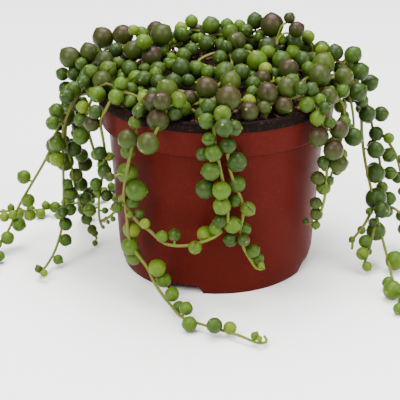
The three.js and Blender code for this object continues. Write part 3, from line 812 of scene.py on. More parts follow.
def even_points(points, step):
    """Points evenly spaced along a smooth curve through the given ones."""
    given = [np.array(point, float) for point in points]
    given = [2 * given[0] - given[1], *given, 2 * given[-1] - given[-2]]
    spans = len(given) - 3
    fine = []
    for k in range(CURVE_STEPS + 1):
        place = spans * (k / CURVE_STEPS)
        span = min(math.floor(place), spans - 1)
        t = place - span
        before, start, end, after = given[span : span + 4]
        leave = 0.5 * (end - before)
        arrive = 0.5 * (after - start)
        square = -3 * start + 3 * end - 2 * leave - arrive
        cube = 2 * start - 2 * end + leave + arrive
        fine.append(start + leave * t + square * t * t + cube * t * t * t)
    reach = [0.0]
    for k in range(1, len(fine)):
        reach.append(reach[-1] + math.dist(fine[k], fine[k - 1]))
    length = reach[-1]
    count = max(2, math.floor(length / step + 0.5))
    even = []
    k = 0
    for j in range(count + 1):
        along = length * j / count
        while k < len(fine) - 2 and reach[k + 1] < along:
            k += 1
        share = (along - reach[k]) / (reach[k + 1] - reach[k])
        even.append(fine[k] + (fine[k + 1] - fine[k]) * share)
    return np.array(even)


stems = []


def add_stem(string, points, radius, spacing, first_site, crown=False):
    """Adds a string's stem or side shoot, with no pearls yet."""
    stem = {
        "line": even_points(points, SITE_STEP), "radius": radius, "spacing": spacing,
        "first_site": first_site, "crown": crown, "pearls": [], "stalks": [], "string": string,
    }
    stems.append(stem)


strings = []
for trail in [*TRAILS, *[back_trail(k) for k in range(len(BACK_DROPS))]]:
    strings.append(trail["name"])
    head = head_of(trail["azimuth"], trail["lead"], trail["rise"])
    route = [*head, *trail["points"]]
    add_stem(trail["name"], route, trail["radius"], trail["spacing"], FIRST_SITE)
    for branch in trail.get("branches", []):
        add_stem(trail["name"], branch["points"], branch["radius"], branch["spacing"], SITE_STEP)
for ring_index, ring in enumerate(CROWN_RINGS):
    for j in range(ring[1]):
        name = f"string_crown_{len(strings) - len(TRAILS) - len(BACK_DROPS) + 1}"
        strings.append(name)
        route = crown_points(ring, ring_index, j)
        add_stem(name, route, CROWN_PEARL, CROWN_SPACING, FIRST_SITE, crown=True)

# ---------------------------------------------------------------- where the pearls sit
# The round leaves sit on short stalks along each stem, turned a leaf's turn from one to the
# next, and press against each other without passing through. The first round is the CAD
# model's, with the same dice; the second fills the gaps that it leaves.
STEM_RADIUS = 0.8
CLEARANCE = 0.4
STEM_CLEARANCE = 0.65
OWN_STEM_REACH = 1.5
SOIL_FEEL = (0.7, 0.72)
STEEP = 0.4
PEARL_SINK = 0.35
PEARL_TIP = 1.12
PEARL_REACH = 2.12
PEARL_TAPER = 1.3
PEARL_SPREAD = (0.8, 1.1)
SPACING_SPREAD = (0.8, 1.2)
TURN_SPREAD = (-20, 20)
TIP_ROOM = 0.3
END_PEARL = (1.3, 0.9, 0.7)
LEAF_TURN = 137.5
SIDE_TURNS = [0, 25, -25, 50, -50, 80, -80, 110, -110, 140, -140, 180]
SHRINKS = [1, 0.85, 0.7]
END_SHRINKS = [1, 0.75, 0.5]
FIRST_SEED = 20231
POT_SECTION = [
    (43.1, 0), (45.2, 7.5), (48.8, 66.5), (52.0, 67.6), (53.2, 78.6), (54, 79), (54, 82),
    (52.8, 83), (51.4, 82), (50.9, 79),
]


class Dice:
    """Park and Miller's dice: the same rolls every time."""

    def __init__(self, seed):
        self.state = seed

    def roll(self):
        self.state = (self.state * 16807) % 2147483647
        return self.state / 2147483647

    def between(self, low, high):
        return low + (high - low) * self.roll()


def pot_distance(rho, z):
    """How far a point, by its radius from the axis and its height, is from the pot's skin."""
    nearest = math.inf
    for (ar, az), (br, bz) in zip(POT_SECTION, POT_SECTION[1:]):
        along = ((rho - ar) * (br - ar) + (z - az) * (bz - az)) / ((br - ar) ** 2 + (bz - az) ** 2)
        t = max(0, min(1, along))
        nearest = min(nearest, math.hypot(ar + t * (br - ar) - rho, az + t * (bz - az) - z))
    return nearest


def clears_pot(centre, radius, clearance):
    """Whether a pearl keeps clear of the table, the mix and the pot."""
    x, y, z = centre
    rho = math.hypot(x, y)
    if z < radius:
        return False
    if rho < SOIL_EDGE_RADIUS:
        if z - radius < soil_height(x, y) + clearance:
            return False
        for dx, dy in ((1, 0), (-1, 0), (0, 1), (0, -1)):
            reach = SOIL_FEEL[0] * radius
            ground = soil_height(x + dx * reach, y + dy * reach)
            if z - SOIL_FEEL[1] * radius < ground + clearance:
                return False
    return z >= POT_HEIGHT + radius + 1 or pot_distance(rho, z) >= radius + clearance


def gather_sites():
    """Every stem's sites in one table, with the stem and the place along it of each."""
    counts = [len(stem["line"]) for stem in stems]
    points = np.vstack([stem["line"] for stem in stems])
    owners = np.repeat(np.arange(len(stems)), counts)
    return points, owners, np.concatenate([np.arange(count) for count in counts])


stem_points, stem_owner, stem_site = gather_sites()
placed_centres = np.empty((0, 3))
placed_radii = np.empty(0)


def lengths(vectors):
    """The length of each vector in a table."""
    return np.sqrt(vectors[:, 0] ** 2 + vectors[:, 1] ** 2 + vectors[:, 2] ** 2)


def clears_all(centre, radius, tip, owner, site, clearance, stem_clearance):
    """Whether a pearl and its tip keep clear of all that it doesn't grow from."""
    if not clears_pot(centre, radius, clearance) or not clears_pot(tip, TIP_ROOM, clearance):
        return False
    if (lengths(placed_centres - centre) - placed_radii - radius < clearance).any():
        return False
    if (lengths(placed_centres - tip) - placed_radii < clearance).any():
        return False
    distance = lengths(stem_points - centre) - radius - STEM_RADIUS
    own = stem_owner == owner
    if (distance[~own] < stem_clearance).any():
        return False
    away = np.abs(stem_site[own] - site) * SITE_STEP > radius + OWN_STEM_REACH
    return not (distance[own][away] < clearance / 2).any()


def unit(vector):
    """A vector's direction."""
    return vector / math.sqrt(vector @ vector)


def frame_at(line, site):
    """Two directions square to the stem: up, or outward where it hangs, and to the side."""
    tangent = unit(line[min(site + 1, len(line) - 1)] - line[max(site - 1, 0)])
    up = np.array([0, 0, 1.0]) - tangent * tangent[2]
    if math.sqrt(up @ up) < STEEP:
        out = unit(np.array([line[site][0], line[site][1], 0]))
        up = out - tangent * (out @ tangent)
    up = unit(up)
    return up, np.cross(tangent, up)


def seat_pearl(owner, site, wanted_radius, wanted_turn, clearance, stem_clearance):
    """The largest pearl that fits at a site, turned as little as may be."""
    line = stems[owner]["line"]
    up, side = frame_at(line, site)
    for shrink in SHRINKS:
        radius = wanted_radius * shrink
        for turn in SIDE_TURNS:
            angle = (wanted_turn + turn) * (math.pi / 180)
            direction = up * math.cos(angle) + side * math.sin(angle)
            centre = line[site] + direction * (radius - PEARL_SINK)
            tip = line[site] + direction * (PEARL_REACH * radius)
            if clears_all(centre, radius, tip, owner, site, clearance, stem_clearance):
                return centre, radius, direction
    return None


def keep_pearl(stem, centre, radius, direction, share, skin=None):
    """Puts a pearl on its stem, and in the tables that later pearls keep clear of."""
    global placed_centres, placed_radii
    placed_centres = np.vstack([placed_centres, centre])
    placed_radii = np.append(placed_radii, radius)
    stem["pearls"].append((centre, radius, direction, share, skin))


first_dice = Dice(FIRST_SEED)
for owner, stem in enumerate(stems):
    line, spacing = stem["line"], stem["spacing"]
    first, last = stem["radius"]
    along = stem["first_site"]
    turn = first_dice.roll() * 360
    while along < (len(line) - 1) * SITE_STEP - 2:
        site = math.floor(along / SITE_STEP + 0.5)
        share = site / (len(line) - 1)
        if stem["crown"]:
            radius = first_dice.between(first, last)
            wanted_turn = first_dice.between(-CROWN_LEAN, CROWN_LEAN)
        else:
            radius = first + (last - first) * share**PEARL_TAPER
            radius *= first_dice.between(*PEARL_SPREAD)
            turn += LEAF_TURN
            wanted_turn = turn + first_dice.between(*TURN_SPREAD)
        pearl = seat_pearl(owner, site, radius, wanted_turn, CLEARANCE, STEM_CLEARANCE)
        if pearl:
            keep_pearl(stem, *pearl, share)
            gap = spacing[0] + (spacing[1] - spacing[0]) * share
            along += gap * first_dice.between(*SPACING_SPREAD)
        else:
            along += SITE_STEP
    direction = unit(line[-1] - line[-2])
    for shrink in END_SHRINKS:
        radius = max(END_PEARL[0], last * END_PEARL[1]) * shrink
        centre = line[-1] + direction * (radius * END_PEARL[2])
        tip = centre + direction * (radius * PEARL_TIP)
        site = len(line) - 1
        if clears_all(centre, radius, tip, owner, site, CLEARANCE, STEM_CLEARANCE):
            keep_pearl(stem, centre, radius, direction, 1.0)
            break

# ---------------------------------------------------------------- the pearls in front
# The pearls that face the viewer are the large old ones on top and those along the front
# strands. Each sits on the nearest stem, on a stalk where it stands off, and the rest of the
# first round makes way for it.
# Each kind of skin and shade: how brown it is, and how light. How light is partly the pearl's own
# green and partly painted shade, as the dark kinds also go to pearls that sit in shade behind
# others.
SKINS_AND_SHADES = {
    "burnt": (0.95, 0.3), "half": (0.6, 0.35), "dusty": (0.5, 0.6), "olive": (0.28, 0.62),
    "dark": (0.0, 0.12), "mid": (0.0, 0.36), "bright": (0.0, 0.62), "lime": (0.0, 0.88),
}
# One more shoot hangs over the rim in front.
FRONT_SHOOT = "shoots_front"
FRONT_ROUTE = [
    (-16, -43, 86.5), (-19, -50, 88.5), (-22, -56, 85), (-25, -58, 79), (-27, -57.5, 73),
]
# Side shoots of the crown's strings, under the pearls that stand highest.
TOP_SHOOTS = [
    ("string_crown_9", [
        (27, 12, 98), (27.5, 17, 99.3), (25, 23, 99.3), (19.5, 27, 100.6), (12, 28, 99.5),
    ]),
    ("string_crown_10", [(-18, 24, 97.5), (-15, 28, 99), (-12, 30.5, 100.3), (-8, 31, 99.6)]),
    ("string_crown_10", [(-24, 18, 96.5), (-26, 14, 99), (-28, 10.5, 99.8), (-31, 8, 99)]),
    ("string_crown_14", [
        (8, 18, 98), (5.5, 21, 99.5), (1, 22.5, 100.3), (-4, 21.5, 99.8), (-8, 19, 98.8),
    ]),
]
# Each front pearl, read from the photograph of 400 x 400 pixels: its middle across and down, its
# radius in pixels and its kind of skin and shade, where a dark kind is partly painted shade on
# pearls behind others. Where a stem passes in front of the pearl, the name of that stem's string
# comes last, without its "string_".
LEADS = [
    (70, 57.5, 10.2, "half"), (89, 52, 8.7, "half"), (103, 38, 10.2, "burnt"),
    (123, 35, 10, "burnt"), (134, 50.5, 9.6, "half"), (151.5, 56, 9.2, "burnt"),
    (161.5, 34.5, 10.2, "half"), (156, 30.5, 9, "burnt"), (115.5, 50.5, 7, "dark"),
    (141.5, 33, 6.4, "bright"), (133.5, 30, 5.1, "lime"), (143.5, 42, 7.6, "bright"),
    (191.5, 21.5, 6.4, "bright"), (181, 28.5, 6.4, "lime"), (181, 34, 7.4, "mid"),
    (177, 42.5, 5.1, "lime"), (161.5, 50.5, 7, "mid"), (81.5, 64, 6.1, "mid"),
    (72.5, 67.5, 4.1, "bright"), (62.5, 74, 6.4, "dark"), (74, 74, 6.6, "dark"),
    (90, 72.5, 7.9, "mid"), (108, 69.5, 8.3, "olive"), (102, 80.5, 9.2, "half"),
    (129.5, 69, 7.4, "dark"), (117.5, 64, 6.4, "olive"), (136, 78, 7.4, "bright"),
    (144, 79, 7.6, "dark"), (121, 83.5, 6.4, "bright"), (130, 89.5, 7, "mid"),
    (97.5, 94.5, 7.9, "bright"), (116, 97, 7.6, "bright"), (130, 101.5, 6.4, "mid"),
    (143, 98, 5.4, "lime"), (74, 89.5, 7.9, "mid"), (83, 81.5, 6.4, "dark"),
    (66.5, 96.5, 7, "dark"), (56.5, 111, 7.5, "mid"), (65, 116, 10.2, "mid"),
    (52.5, 123, 6.6, "mid"), (81.5, 120, 7.4, "mid"), (83, 107, 6.2, "lime"), (95, 112, 7, "dark"),
    (92, 123.5, 7.7, "burnt"), (81, 136.5, 7.9, "mid"), (57.5, 143, 8.3, "mid"),
    (74, 149, 7.7, "dark", "left_middle"), (57.5, 159, 7.5, "lime"),
    (65, 162, 8.7, "mid", "left_middle"), (76, 175, 6.6, "olive", "left_middle"),
    (67.5, 184, 5.1, "mid"), (70, 193.5, 7, "mid", "left_front"),
    (70, 209.5, 6.1, "mid", "left_front"), (62.5, 212.5, 5.1, "dark"), (65.5, 224, 6.4, "mid"),
    (65.5, 240, 5.9, "mid"), (58, 259.5, 4.9, "bright"), (38.5, 269, 3.8, "mid"),
    (44, 273, 3.6, "lime"), (24, 177, 6.8, "bright"), (28, 200.5, 6.6, "bright"),
    (19, 224.5, 6.6, "bright"), (7.5, 238, 6.4, "bright"), (4.5, 217, 4.8, "lime"),
    (13, 215, 4.5, "lime"), (30, 215, 5.7, "lime"), (40.5, 213.5, 4.8, "lime"),
    (83, 209.5, 5.1, "olive", "left_middle"), (85.5, 198, 5.7, "mid"), (90, 210, 6.1, "olive"),
    (86.5, 219, 5.4, "olive"), (92, 229.5, 4.6, "olive"), (95, 243, 2.8, "olive"),
    (100, 153, 6.6, "dark"), (109, 156.5, 4.5, "lime"), (104.5, 171.5, 7, "dark"),
    (109.5, 177, 4.5, "half"), (96, 184, 6.1, "mid"), (97.5, 192, 3.8, "bright"),
    (106.5, 195.5, 5.7, "dark"), (105, 210.5, 3.2, "mid"), (113, 219, 2.6, "olive"),
    (108, 222, 2, "olive"), (103, 227, 1.8, "olive"), (106, 218, 1.6, "half"),
    (135, 122.5, 6.4, "olive"), (158, 120, 10.8, "burnt"), (167, 89.5, 10, "dusty"),
    (152, 102, 8.9, "burnt"), (162, 101, 8.9, "burnt"), (174.5, 113, 7, "dark"),
    (183.5, 108.5, 7.7, "olive"), (178.5, 99.5, 7.7, "olive"), (189, 98, 7.7, "burnt"),
    (127.5, 139, 9.2, "half"), (148, 143.5, 10.5, "half"), (181, 67.5, 8.9, "dark"),
    (196.5, 69, 7.9, "mid"), (173.5, 81.5, 7.7, "dark"), (158, 81.5, 7, "dark"),
    (188, 80.5, 6.4, "dark"), (183.5, 55, 7, "mid"), (191.5, 49.5, 6.6, "dark"),
    (128, 151.5, 7.2, "mid", "front_left"), (127.5, 173, 10.2, "olive", "front_left"),
    (136.5, 190.5, 10, "mid"), (132.5, 202.5, 6.4, "mid", "front_left"),
    (116.5, 207.5, 5.4, "dusty"), (123, 199.5, 4.8, "lime"),
    (131.5, 229.5, 8.3, "lime", "front_left"), (130, 246.5, 8.3, "bright"),
    (134, 256.5, 7.9, "bright", "front_left"), (157, 268, 8.4, "lime", "front_left"),
    (163.5, 280, 7.4, "bright", "front_left"), (172, 294.5, 6.9, "bright"),
    (186, 308.5, 6.6, "bright"), (189.5, 324, 7.4, "bright"), (214.5, 325.5, 7.6, "mid"),
    (230, 328, 6.4, "lime"), (255, 336, 4.1, "bright"), (259.5, 338.5, 2.8, "lime"),
    (139.5, 214, 4.6, "mid"), (145, 223.5, 5.1, "lime"), (162, 236.5, 5.9, "bright"),
    (174.5, 235, 6.1, "mid"), (195, 247.5, 6.4, "bright"), (211, 25.5, 8.7, "mid"),
    (227, 25, 6.4, "mid"), (230, 32, 7.4, "mid"), (239.5, 26, 6.1, "bright"),
    (255, 21, 7.9, "dark"), (272, 25, 11.2, "burnt"), (289.5, 18, 5.5, "burnt"),
    (296.5, 29.5, 7.7, "burnt"), (308, 37, 6.4, "lime"), (246, 30.5, 6.4, "mid"),
    (236.5, 41, 8.9, "half"), (292.5, 42, 8.3, "dark"), (206.5, 43.5, 7.7, "dark"),
    (226, 47, 6.1, "dark"), (240, 57, 8.3, "dark"), (220, 57.5, 7, "dark"),
    (267.5, 52.5, 7, "bright"), (257, 60.5, 9.6, "bright"), (281.5, 60, 8.9, "mid"),
    (293, 52.5, 7, "bright"), (303.5, 60, 7.9, "dark"), (288.5, 69, 9.6, "burnt"),
    (323.5, 64, 10.8, "dusty"), (320, 76, 10.5, "half"), (335, 52.5, 7.9, "dark"),
    (353, 55, 8.3, "mid"), (360, 71.5, 8.7, "dark"), (369.5, 83, 8.3, "dark"),
    (344, 76.5, 8.9, "half"), (358, 92, 8.9, "dark"), (343, 91, 6.4, "mid"),
    (329, 96.5, 8.7, "half"), (320, 99.5, 5.7, "bright"), (307, 104.5, 7.7, "mid"),
    (325.5, 108, 6.1, "dark"), (317.5, 118, 7.4, "bright"), (330, 122.5, 5.7, "mid"),
    (318.5, 136.5, 9.9, "burnt"), (339, 129.5, 9.2, "burnt"), (333.5, 150, 9.9, "burnt"),
    (338.5, 163.5, 8.8, "half"), (323.5, 162, 6.1, "dark"), (318, 178, 6.6, "half", "right_front"),
    (323.5, 187.5, 7, "olive"), (330, 179.5, 3.6, "dark"), (316, 203, 5.9, "half", "right_front"),
    (316.5, 214, 6.1, "half"), (316, 225, 4.2, "olive"), (306, 221.5, 3.2, "dark"),
    (353.5, 137, 8.9, "dark"), (367, 114, 8.3, "dark"), (381, 114, 7.4, "dark"),
    (376, 133.5, 7, "dark"), (375.5, 150, 8, "dark", "right_main"), (389, 155, 7, "mid"),
    (375.5, 173.5, 9.2, "dark", "right_main"), (390, 173, 6.4, "mid"), (397.5, 177.5, 5.7, "mid"),
    (382, 187.5, 5.7, "mid"), (376, 198.5, 10.2, "dark"), (389, 198.5, 6.6, "mid"),
    (382, 210, 7.7, "dark"), (361.5, 230, 4.1, "olive"), (352, 239.5, 3.2, "olive"),
    (373, 222.5, 4.5, "dark"), (376, 231, 9.2, "mid", "right_main"), (365.5, 241.5, 6.4, "mid"),
    (362.5, 253.5, 6.1, "lime"), (367, 266.5, 4.8, "lime"),
    (395, 260.5, 9.2, "bright", "right_main"), (392.5, 290, 9.2, "bright", "right_main"),
    (399, 309, 5.7, "bright"), (228.5, 98, 11.7, "burnt"), (206.5, 88, 10.2, "burnt"),
    (230.5, 81.5, 9.6, "dusty"), (267.5, 93, 9.9, "burnt"), (287.5, 87.5, 9.6, "half"),
    (284, 106, 8.7, "burnt"), (248.5, 112, 9.6, "burnt"), (264, 108, 7, "half"),
    (249, 101, 6.4, "lime"), (208.5, 107, 7.7, "dark"), (222.5, 114, 8.3, "olive"),
    (206.5, 121, 7.9, "mid"), (224, 127.5, 8.7, "dark"), (209, 139, 6.6, "mid"),
    (228, 145.5, 7.9, "dark"), (213.5, 153, 8.3, "mid"), (211, 171, 9.2, "mid"),
    (236.5, 162, 9.6, "dark"), (202.5, 154.5, 6.4, "dark"), (237, 184, 8.2, "mid"),
    (221.5, 190.5, 8.9, "bright"), (205.5, 189, 9.6, "dark"), (222, 206, 8.7, "bright"),
    (235, 200.5, 6.4, "mid"), (248, 209, 7, "olive"), (220, 221.5, 6.1, "dark"),
    (232.5, 224.5, 8.7, "bright"), (215.5, 228.5, 6.4, "bright"), (205, 234, 7.7, "lime"),
    (244.5, 229, 6.4, "mid"), (230.5, 239.5, 7, "dark"), (244, 240.5, 5.7, "half"),
    (253, 251, 6.4, "mid"), (258, 258.5, 5.7, "mid"), (261, 265, 3.2, "lime"),
    (253.5, 84, 7.4, "dark"), (262.5, 78, 7.7, "burnt"), (252.5, 92, 5.7, "mid"),
    (241, 72.5, 8.3, "dark"), (225.5, 72.5, 10.2, "mid"), (208.5, 72.5, 7, "mid"),
    (253, 66.5, 5.7, "bright"), (265.5, 69, 6.4, "lime"), (274, 74, 6.1, "dark"),
    (292, 81.5, 7.7, "mid"), (301, 88, 6.4, "dark"), (311, 89.5, 7, "dark"), (308.5, 69, 7, "mid"),
    (334, 79, 5.4, "dark"), (315, 57.5, 5.1, "mid"), (322, 50.5, 6.1, "lime"),
    (307, 48.5, 8, "dusty"),
]
# Where the canopy is open and the mix shows: place and radius in pixels, as for the pearls.
OPENINGS = [
    (213, 54, 4), (199, 55, 5), (207, 58, 5), (253, 55, 4), (303, 76, 5), (185, 86, 4),
    (191, 108, 6), (232, 117, 5), (268, 112, 6), (297, 107, 5), (316, 88, 4),
]
OPENING_PRESS = 0.7
LEAD_FAR_COST = 0.12
LEAD_STEPS = sorted(range(-18, 11), key=abs)
CROSSED_STEPS = [*range(11), *range(-1, -19, -1)]
LEAD_PRESS = 0.94
LEAD_BEHIND = 0.4
LEAD_COVER = 0.8
LEAD_SWELL = 1.07
LEAD_MAKE_WAY = 0.85
LEAD_SEED = 977
LEAD_CLEARANCE = 0.2
LEAD_POT_COST = 20
LEAD_SQUEEZE = -3
STALK_GAP = 0.3
STALK_SHARE = 0.9
STRAY_SHARE = 0.3
VIEW_MIDDLE = 200
VIEW_FOCAL = CAMERA_LENS / 36 * 2 * VIEW_MIDDLE
view_place = np.array(CAMERA_PLACE) / MM
view_axes = np.array(camera.rotation_euler.to_matrix())


def seen(points):
    """Where points show in the photograph's frame, and how many pixels a millimetre is there."""
    local = (points - view_place) @ view_axes
    scale = VIEW_FOCAL / -local[:, 2]
    return VIEW_MIDDLE + local[:, 0] * scale, VIEW_MIDDLE - local[:, 1] * scale, scale


strings.append(FRONT_SHOOT)
add_stem(FRONT_SHOOT, FRONT_ROUTE, (3.6, 3.0), (7, 7), SITE_STEP)
for name, route in TOP_SHOOTS:
    add_stem(name, route, CROWN_PEARL, CROWN_SPACING, SITE_STEP, crown=True)
stem_points, stem_owner, stem_site = gather_sites()
stem_string = np.array([stems[owner]["string"] for owner in stem_owner])
stem_scale = seen(stem_points)[2]
first_round = [list(stem["pearls"]) for stem in stems]
for stem in stems:
    stem["pearls"].clear()
placed_centres = np.empty((0, 3))
placed_radii = np.empty(0)
lead_dice = Dice(LEAD_SEED)
for x, y, size, skin, *crossed in LEADS:
    ray = unit(view_axes @ np.array([x - VIEW_MIDDLE, VIEW_MIDDLE - y, -VIEW_FOCAL]))
    offset = stem_points - view_place
    along = offset @ ray
    beside = lengths(offset - along[:, None] * ray)
    radii = LEAD_SWELL * size / stem_scale
    if crossed:
        others = np.where(stem_string == f"string_{crossed[0]}", 0, math.inf)
        index = int((beside + others).argmin())
    else:
        index = int((np.maximum(0, beside - radii) + LEAD_FAR_COST * along).argmin())
    radius, owner = radii[index], stem_owner[index]
    stem = stems[owner]
    reach = math.sqrt(max(0, (radius - PEARL_SINK) ** 2 - beside[index] ** 2))
    behind = lead_dice.roll() < LEAD_BEHIND and not stem["crown"]
    if behind or crossed:
        reach = -reach
    best_room, best_centre = -math.inf, None
    for step in CROSSED_STEPS if crossed else LEAD_STEPS:
        centre = view_place + ray * (along[index] - reach + step)
        apart = lengths(placed_centres - centre) - LEAD_PRESS * (placed_radii + radius)
        room = min(0, apart.min()) if len(apart) else 0
        if not clears_pot(centre, radius, LEAD_CLEARANCE):
            room -= LEAD_POT_COST
        if room > best_room:
            best_room, best_centre = room, centre
        if room == 0:
            break
    if best_room < LEAD_SQUEEZE:
        continue
    foot = stem_points[index]
    direction = unit(best_centre - foot)
    share = stem_site[index] / (len(stem["line"]) - 1)
    keep_pearl(stem, best_centre, radius, direction, share, skin)
    if math.dist(best_centre, foot) > radius + STALK_GAP:
        stem["stalks"].append((foot, best_centre - direction * (radius * STALK_SHARE)))
lead_x, lead_y, lead_scale = seen(placed_centres)
lead_size = placed_radii * lead_scale
lead_centres, lead_radii = placed_centres, placed_radii
opening_x, opening_y, opening_size = np.array(OPENINGS, float).T


def hides_lead(centre, radius):
    """Whether a pearl would stand in front of one of the leads."""
    x, y, scale = seen(centre[None])
    apart = np.hypot(lead_x - x, lead_y - y)
    covers = apart < LEAD_COVER * (lead_size + radius * scale)
    return (covers & (scale > lead_scale)).any()


def closes_opening(centre, radius):
    """Whether a pearl would cover a spot where the mix shows."""
    x, y, scale = seen(centre[None])
    apart = np.hypot(opening_x - x, opening_y - y)
    return (apart < opening_size + OPENING_PRESS * radius * scale).any()


def strays(stem, centre, share):
    """Whether a pearl on a strand stands where the photograph has none."""
    if stem["crown"] or "back" in stem["string"] or share < STRAY_SHARE:
        return False
    x, y, _ = seen(centre[None])
    if min(x, y) < 0 or max(x, y) > 2 * VIEW_MIDDLE:
        return False
    return (np.hypot(lead_x - x, lead_y - y) > lead_size).all()


for stem, pearls in zip(stems, first_round):
    for centre, radius, direction, share, skin in pearls:
        fitted = min(radius, (lengths(lead_centres - centre) - LEAD_PRESS * lead_radii).min())
        if fitted < LEAD_MAKE_WAY * radius or hides_lead(centre, radius):
            continue
        if not strays(stem, centre, share) and not closes_opening(centre, fitted):
            keep_pearl(stem, centre, fitted, direction, share)

# The second round: smaller pearls that nearly touch.
SECOND_SEED = 4711
FILL_CLEARANCE = 0.06
FILL_STEM_CLEARANCE = -0.1
FILL_CROWN_RADIUS = (1.9, 3.6)
FILL_CROWN_SPACING = 2.6
FILL_TRAIL_SHARE = (0.62, 0.98)
FILL_TRAIL_SPACING = (3.4, 9.0)
FILL_TRAIL_LEAST = 1.5
FILL_TRAIL_TURN = (-30, 30)
FILL_CROWN_TURN = (-110, 110)
FILL_ROUNDS = 2
second_dice = Dice(SECOND_SEED)
for _ in range(FILL_ROUNDS):
    for owner, stem in enumerate(stems):
        line = stem["line"]
        first, last = stem["radius"]
        along = stem["first_site"]
        turn = second_dice.roll() * 360
        while along < (len(line) - 1) * SITE_STEP:
            site = math.floor(along / SITE_STEP + 0.5)
            share = site / (len(line) - 1)
            turn += LEAF_TURN
            if stem["crown"]:
                radius = second_dice.between(*FILL_CROWN_RADIUS)
                wanted_turn = second_dice.between(*FILL_CROWN_TURN)
                gap = FILL_CROWN_SPACING
            else:
                local = first + (last - first) * share**PEARL_TAPER
                radius = max(FILL_TRAIL_LEAST, local * second_dice.between(*FILL_TRAIL_SHARE))
                wanted_turn = turn + second_dice.between(*FILL_TRAIL_TURN)
                gap = FILL_TRAIL_SPACING[0]
                gap += (FILL_TRAIL_SPACING[1] - FILL_TRAIL_SPACING[0]) * share
            pearl = seat_pearl(
                owner, site, radius, wanted_turn, FILL_CLEARANCE, FILL_STEM_CLEARANCE
            )
            if pearl and (
                hides_lead(*pearl[:2])
                or closes_opening(*pearl[:2])
                or strays(stem, pearl[0], share)
            ):
                pearl = None
            if pearl:
                keep_pearl(stem, *pearl, share)
                along += gap * second_dice.between(*SPACING_SPREAD)
            else:
                along += SITE_STEP

# ---------------------------------------------------------------- one pearl
# A water-storing leaf, almost a ball: it is drawn out to a small point away from the stem,
# and has a dark slit down one side that lets the light in.
PEARL_SIDES = 12
PEARL_BANDS = 7
POLE = 0.99

# A waxy leaf skin: satin, a little translucent, and brown-violet where the sun has burnt it.
# The tone attribute carries how brown it is, how light it is, and a throw of the dice.
leaf = new_material("waxy_succulent_leaf")
leaf_tone = add_node(leaf, "ShaderNodeAttribute", attribute_name="tone").outputs["Color"]
leaf_parts = add_node(leaf, "ShaderNodeSeparateColor", {"Color": leaf_tone}).outputs
leaf_map = add_node(leaf, "ShaderNodeUVMap", uv_map="UVMap").outputs["UV"]
leaf_uv = add_node(leaf, "ShaderNodeSeparateXYZ", {"Vector": leaf_map}).outputs
# Soft blotches about 4 mm across.
leaf_blotches = noise(leaf, 4, 6.0)
leaf_lightness = worked_out(leaf, "MULTIPLY_ADD", leaf_blotches, 0.64, -0.32)
leaf_light = worked_out(leaf, "ADD", leaf_parts["Green"], leaf_lightness)
leaf_green_stops = [
    (0.0, "#1f300d"), (0.3, "#2e420f"), (0.55, "#3c5411"), (0.8, "#4b6113"), (1.0, "#616c19"),
]
leaf_greens = ramped(leaf, leaf_light, leaf_green_stops)
leaf_brown_stops = [(0.0, "#2b2011"), (0.5, "#2e1e15"), (1.0, "#312a11")]
leaf_browns = ramped(leaf, leaf_parts["Blue"], leaf_brown_stops)
leaf_burn = worked_out(leaf, "ADD", leaf_parts["Red"], leaf_lightness, use_clamp=True)
leaf_skin = mixed(leaf, leaf_burn, leaf_greens, leaf_browns)
# The slit runs from pole to pole where the pearl's map is at its middle. On a large pearl it
# is about half a millimetre wide with soft sides, and it shows on half of the pearls.
slit_side = worked_out(leaf, "SUBTRACT", leaf_uv["X"], 0.5)
slit_line = ranged(leaf, worked_out(leaf, "ABSOLUTE", slit_side), (0.010, 0.022), (1.0, 0.0))
slit_reach = ranged(leaf, leaf_uv["Y"], (0.25, 0.4), (0.0, 0.75))
slit_open = worked_out(leaf, "LESS_THAN", leaf_parts["Blue"], 0.5)
slit_shown = worked_out(leaf, "MULTIPLY", slit_reach, slit_open)
slit = worked_out(leaf, "MULTIPLY", slit_line, slit_shown)
leaf_slit = mixed(leaf, slit, leaf_skin, linear("#0f1a07"))
leaf_tip = ranged(leaf, leaf_uv["Y"], (0.95, 0.99), (0.0, 0.8))
finish_material(
    leaf,
    {
        "Base Color": mixed(leaf, leaf_tip, leaf_slit, linear("#8c9238")),
        "Roughness": ranged(leaf, leaf_blotches, (0.0, 1.0), (0.3, 0.46)),
        "IOR": 1.45,
        "Specular IOR Level": 0.16,
        "Subsurface Weight": 0.12,
        "Subsurface Radius": (0.9, 1.0, 0.35),
        "Subsurface Scale": 1.4 * MM,
    },
)

bpy.ops.object.select_all(action="DESELECT")
bpy.ops.mesh.primitive_uv_sphere_add(segments=PEARL_SIDES, ring_count=PEARL_BANDS, radius=1)
pearl_model = bpy.context.object
bpy.ops.object.mode_set(mode="EDIT")
bpy.ops.mesh.select_mode(type="VERT")
bpy.ops.mesh.select_all(action="DESELECT")
pearl_shape = bmesh.from_edit_mesh(pearl_model.data)
for vertex in pearl_shape.verts:
    vertex.select_set(vertex.co.z > POLE)
bmesh.update_edit_mesh(pearl_model.data)
bpy.ops.transform.translate(value=(0, 0, PEARL_TIP - 1))
bpy.ops.object.mode_set(mode="OBJECT")
bpy.ops.object.shade_smooth()
pearl_model.data.materials.append(leaf)

# A young pearl is more like a drop, with a longer point.
YOUNG_RADIUS = 2.5
YOUNG_TIP = 1.28
YOUNG_NECK = (0.8, 0.8, 0.04)
YOUNG_BAND = 0.15
work_on(pearl_model)
bpy.ops.object.duplicate()
young_model = bpy.context.object
bpy.ops.object.mode_set(mode="EDIT")
young_shape = bmesh.from_edit_mesh(young_model.data)
for foot, squeeze, lift in ((POLE, 1.0, YOUNG_TIP - PEARL_TIP), YOUNG_NECK):
    for vertex in young_shape.verts:
        vertex.select_set(foot < vertex.co.z < foot + YOUNG_BAND)
    bmesh.update_edit_mesh(young_model.data)
    bpy.ops.transform.resize(value=(squeeze, squeeze, 1), center_override=(0, 0, 0))
    bpy.ops.transform.translate(value=(0, 0, lift))
bpy.ops.object.mode_set(mode="OBJECT")

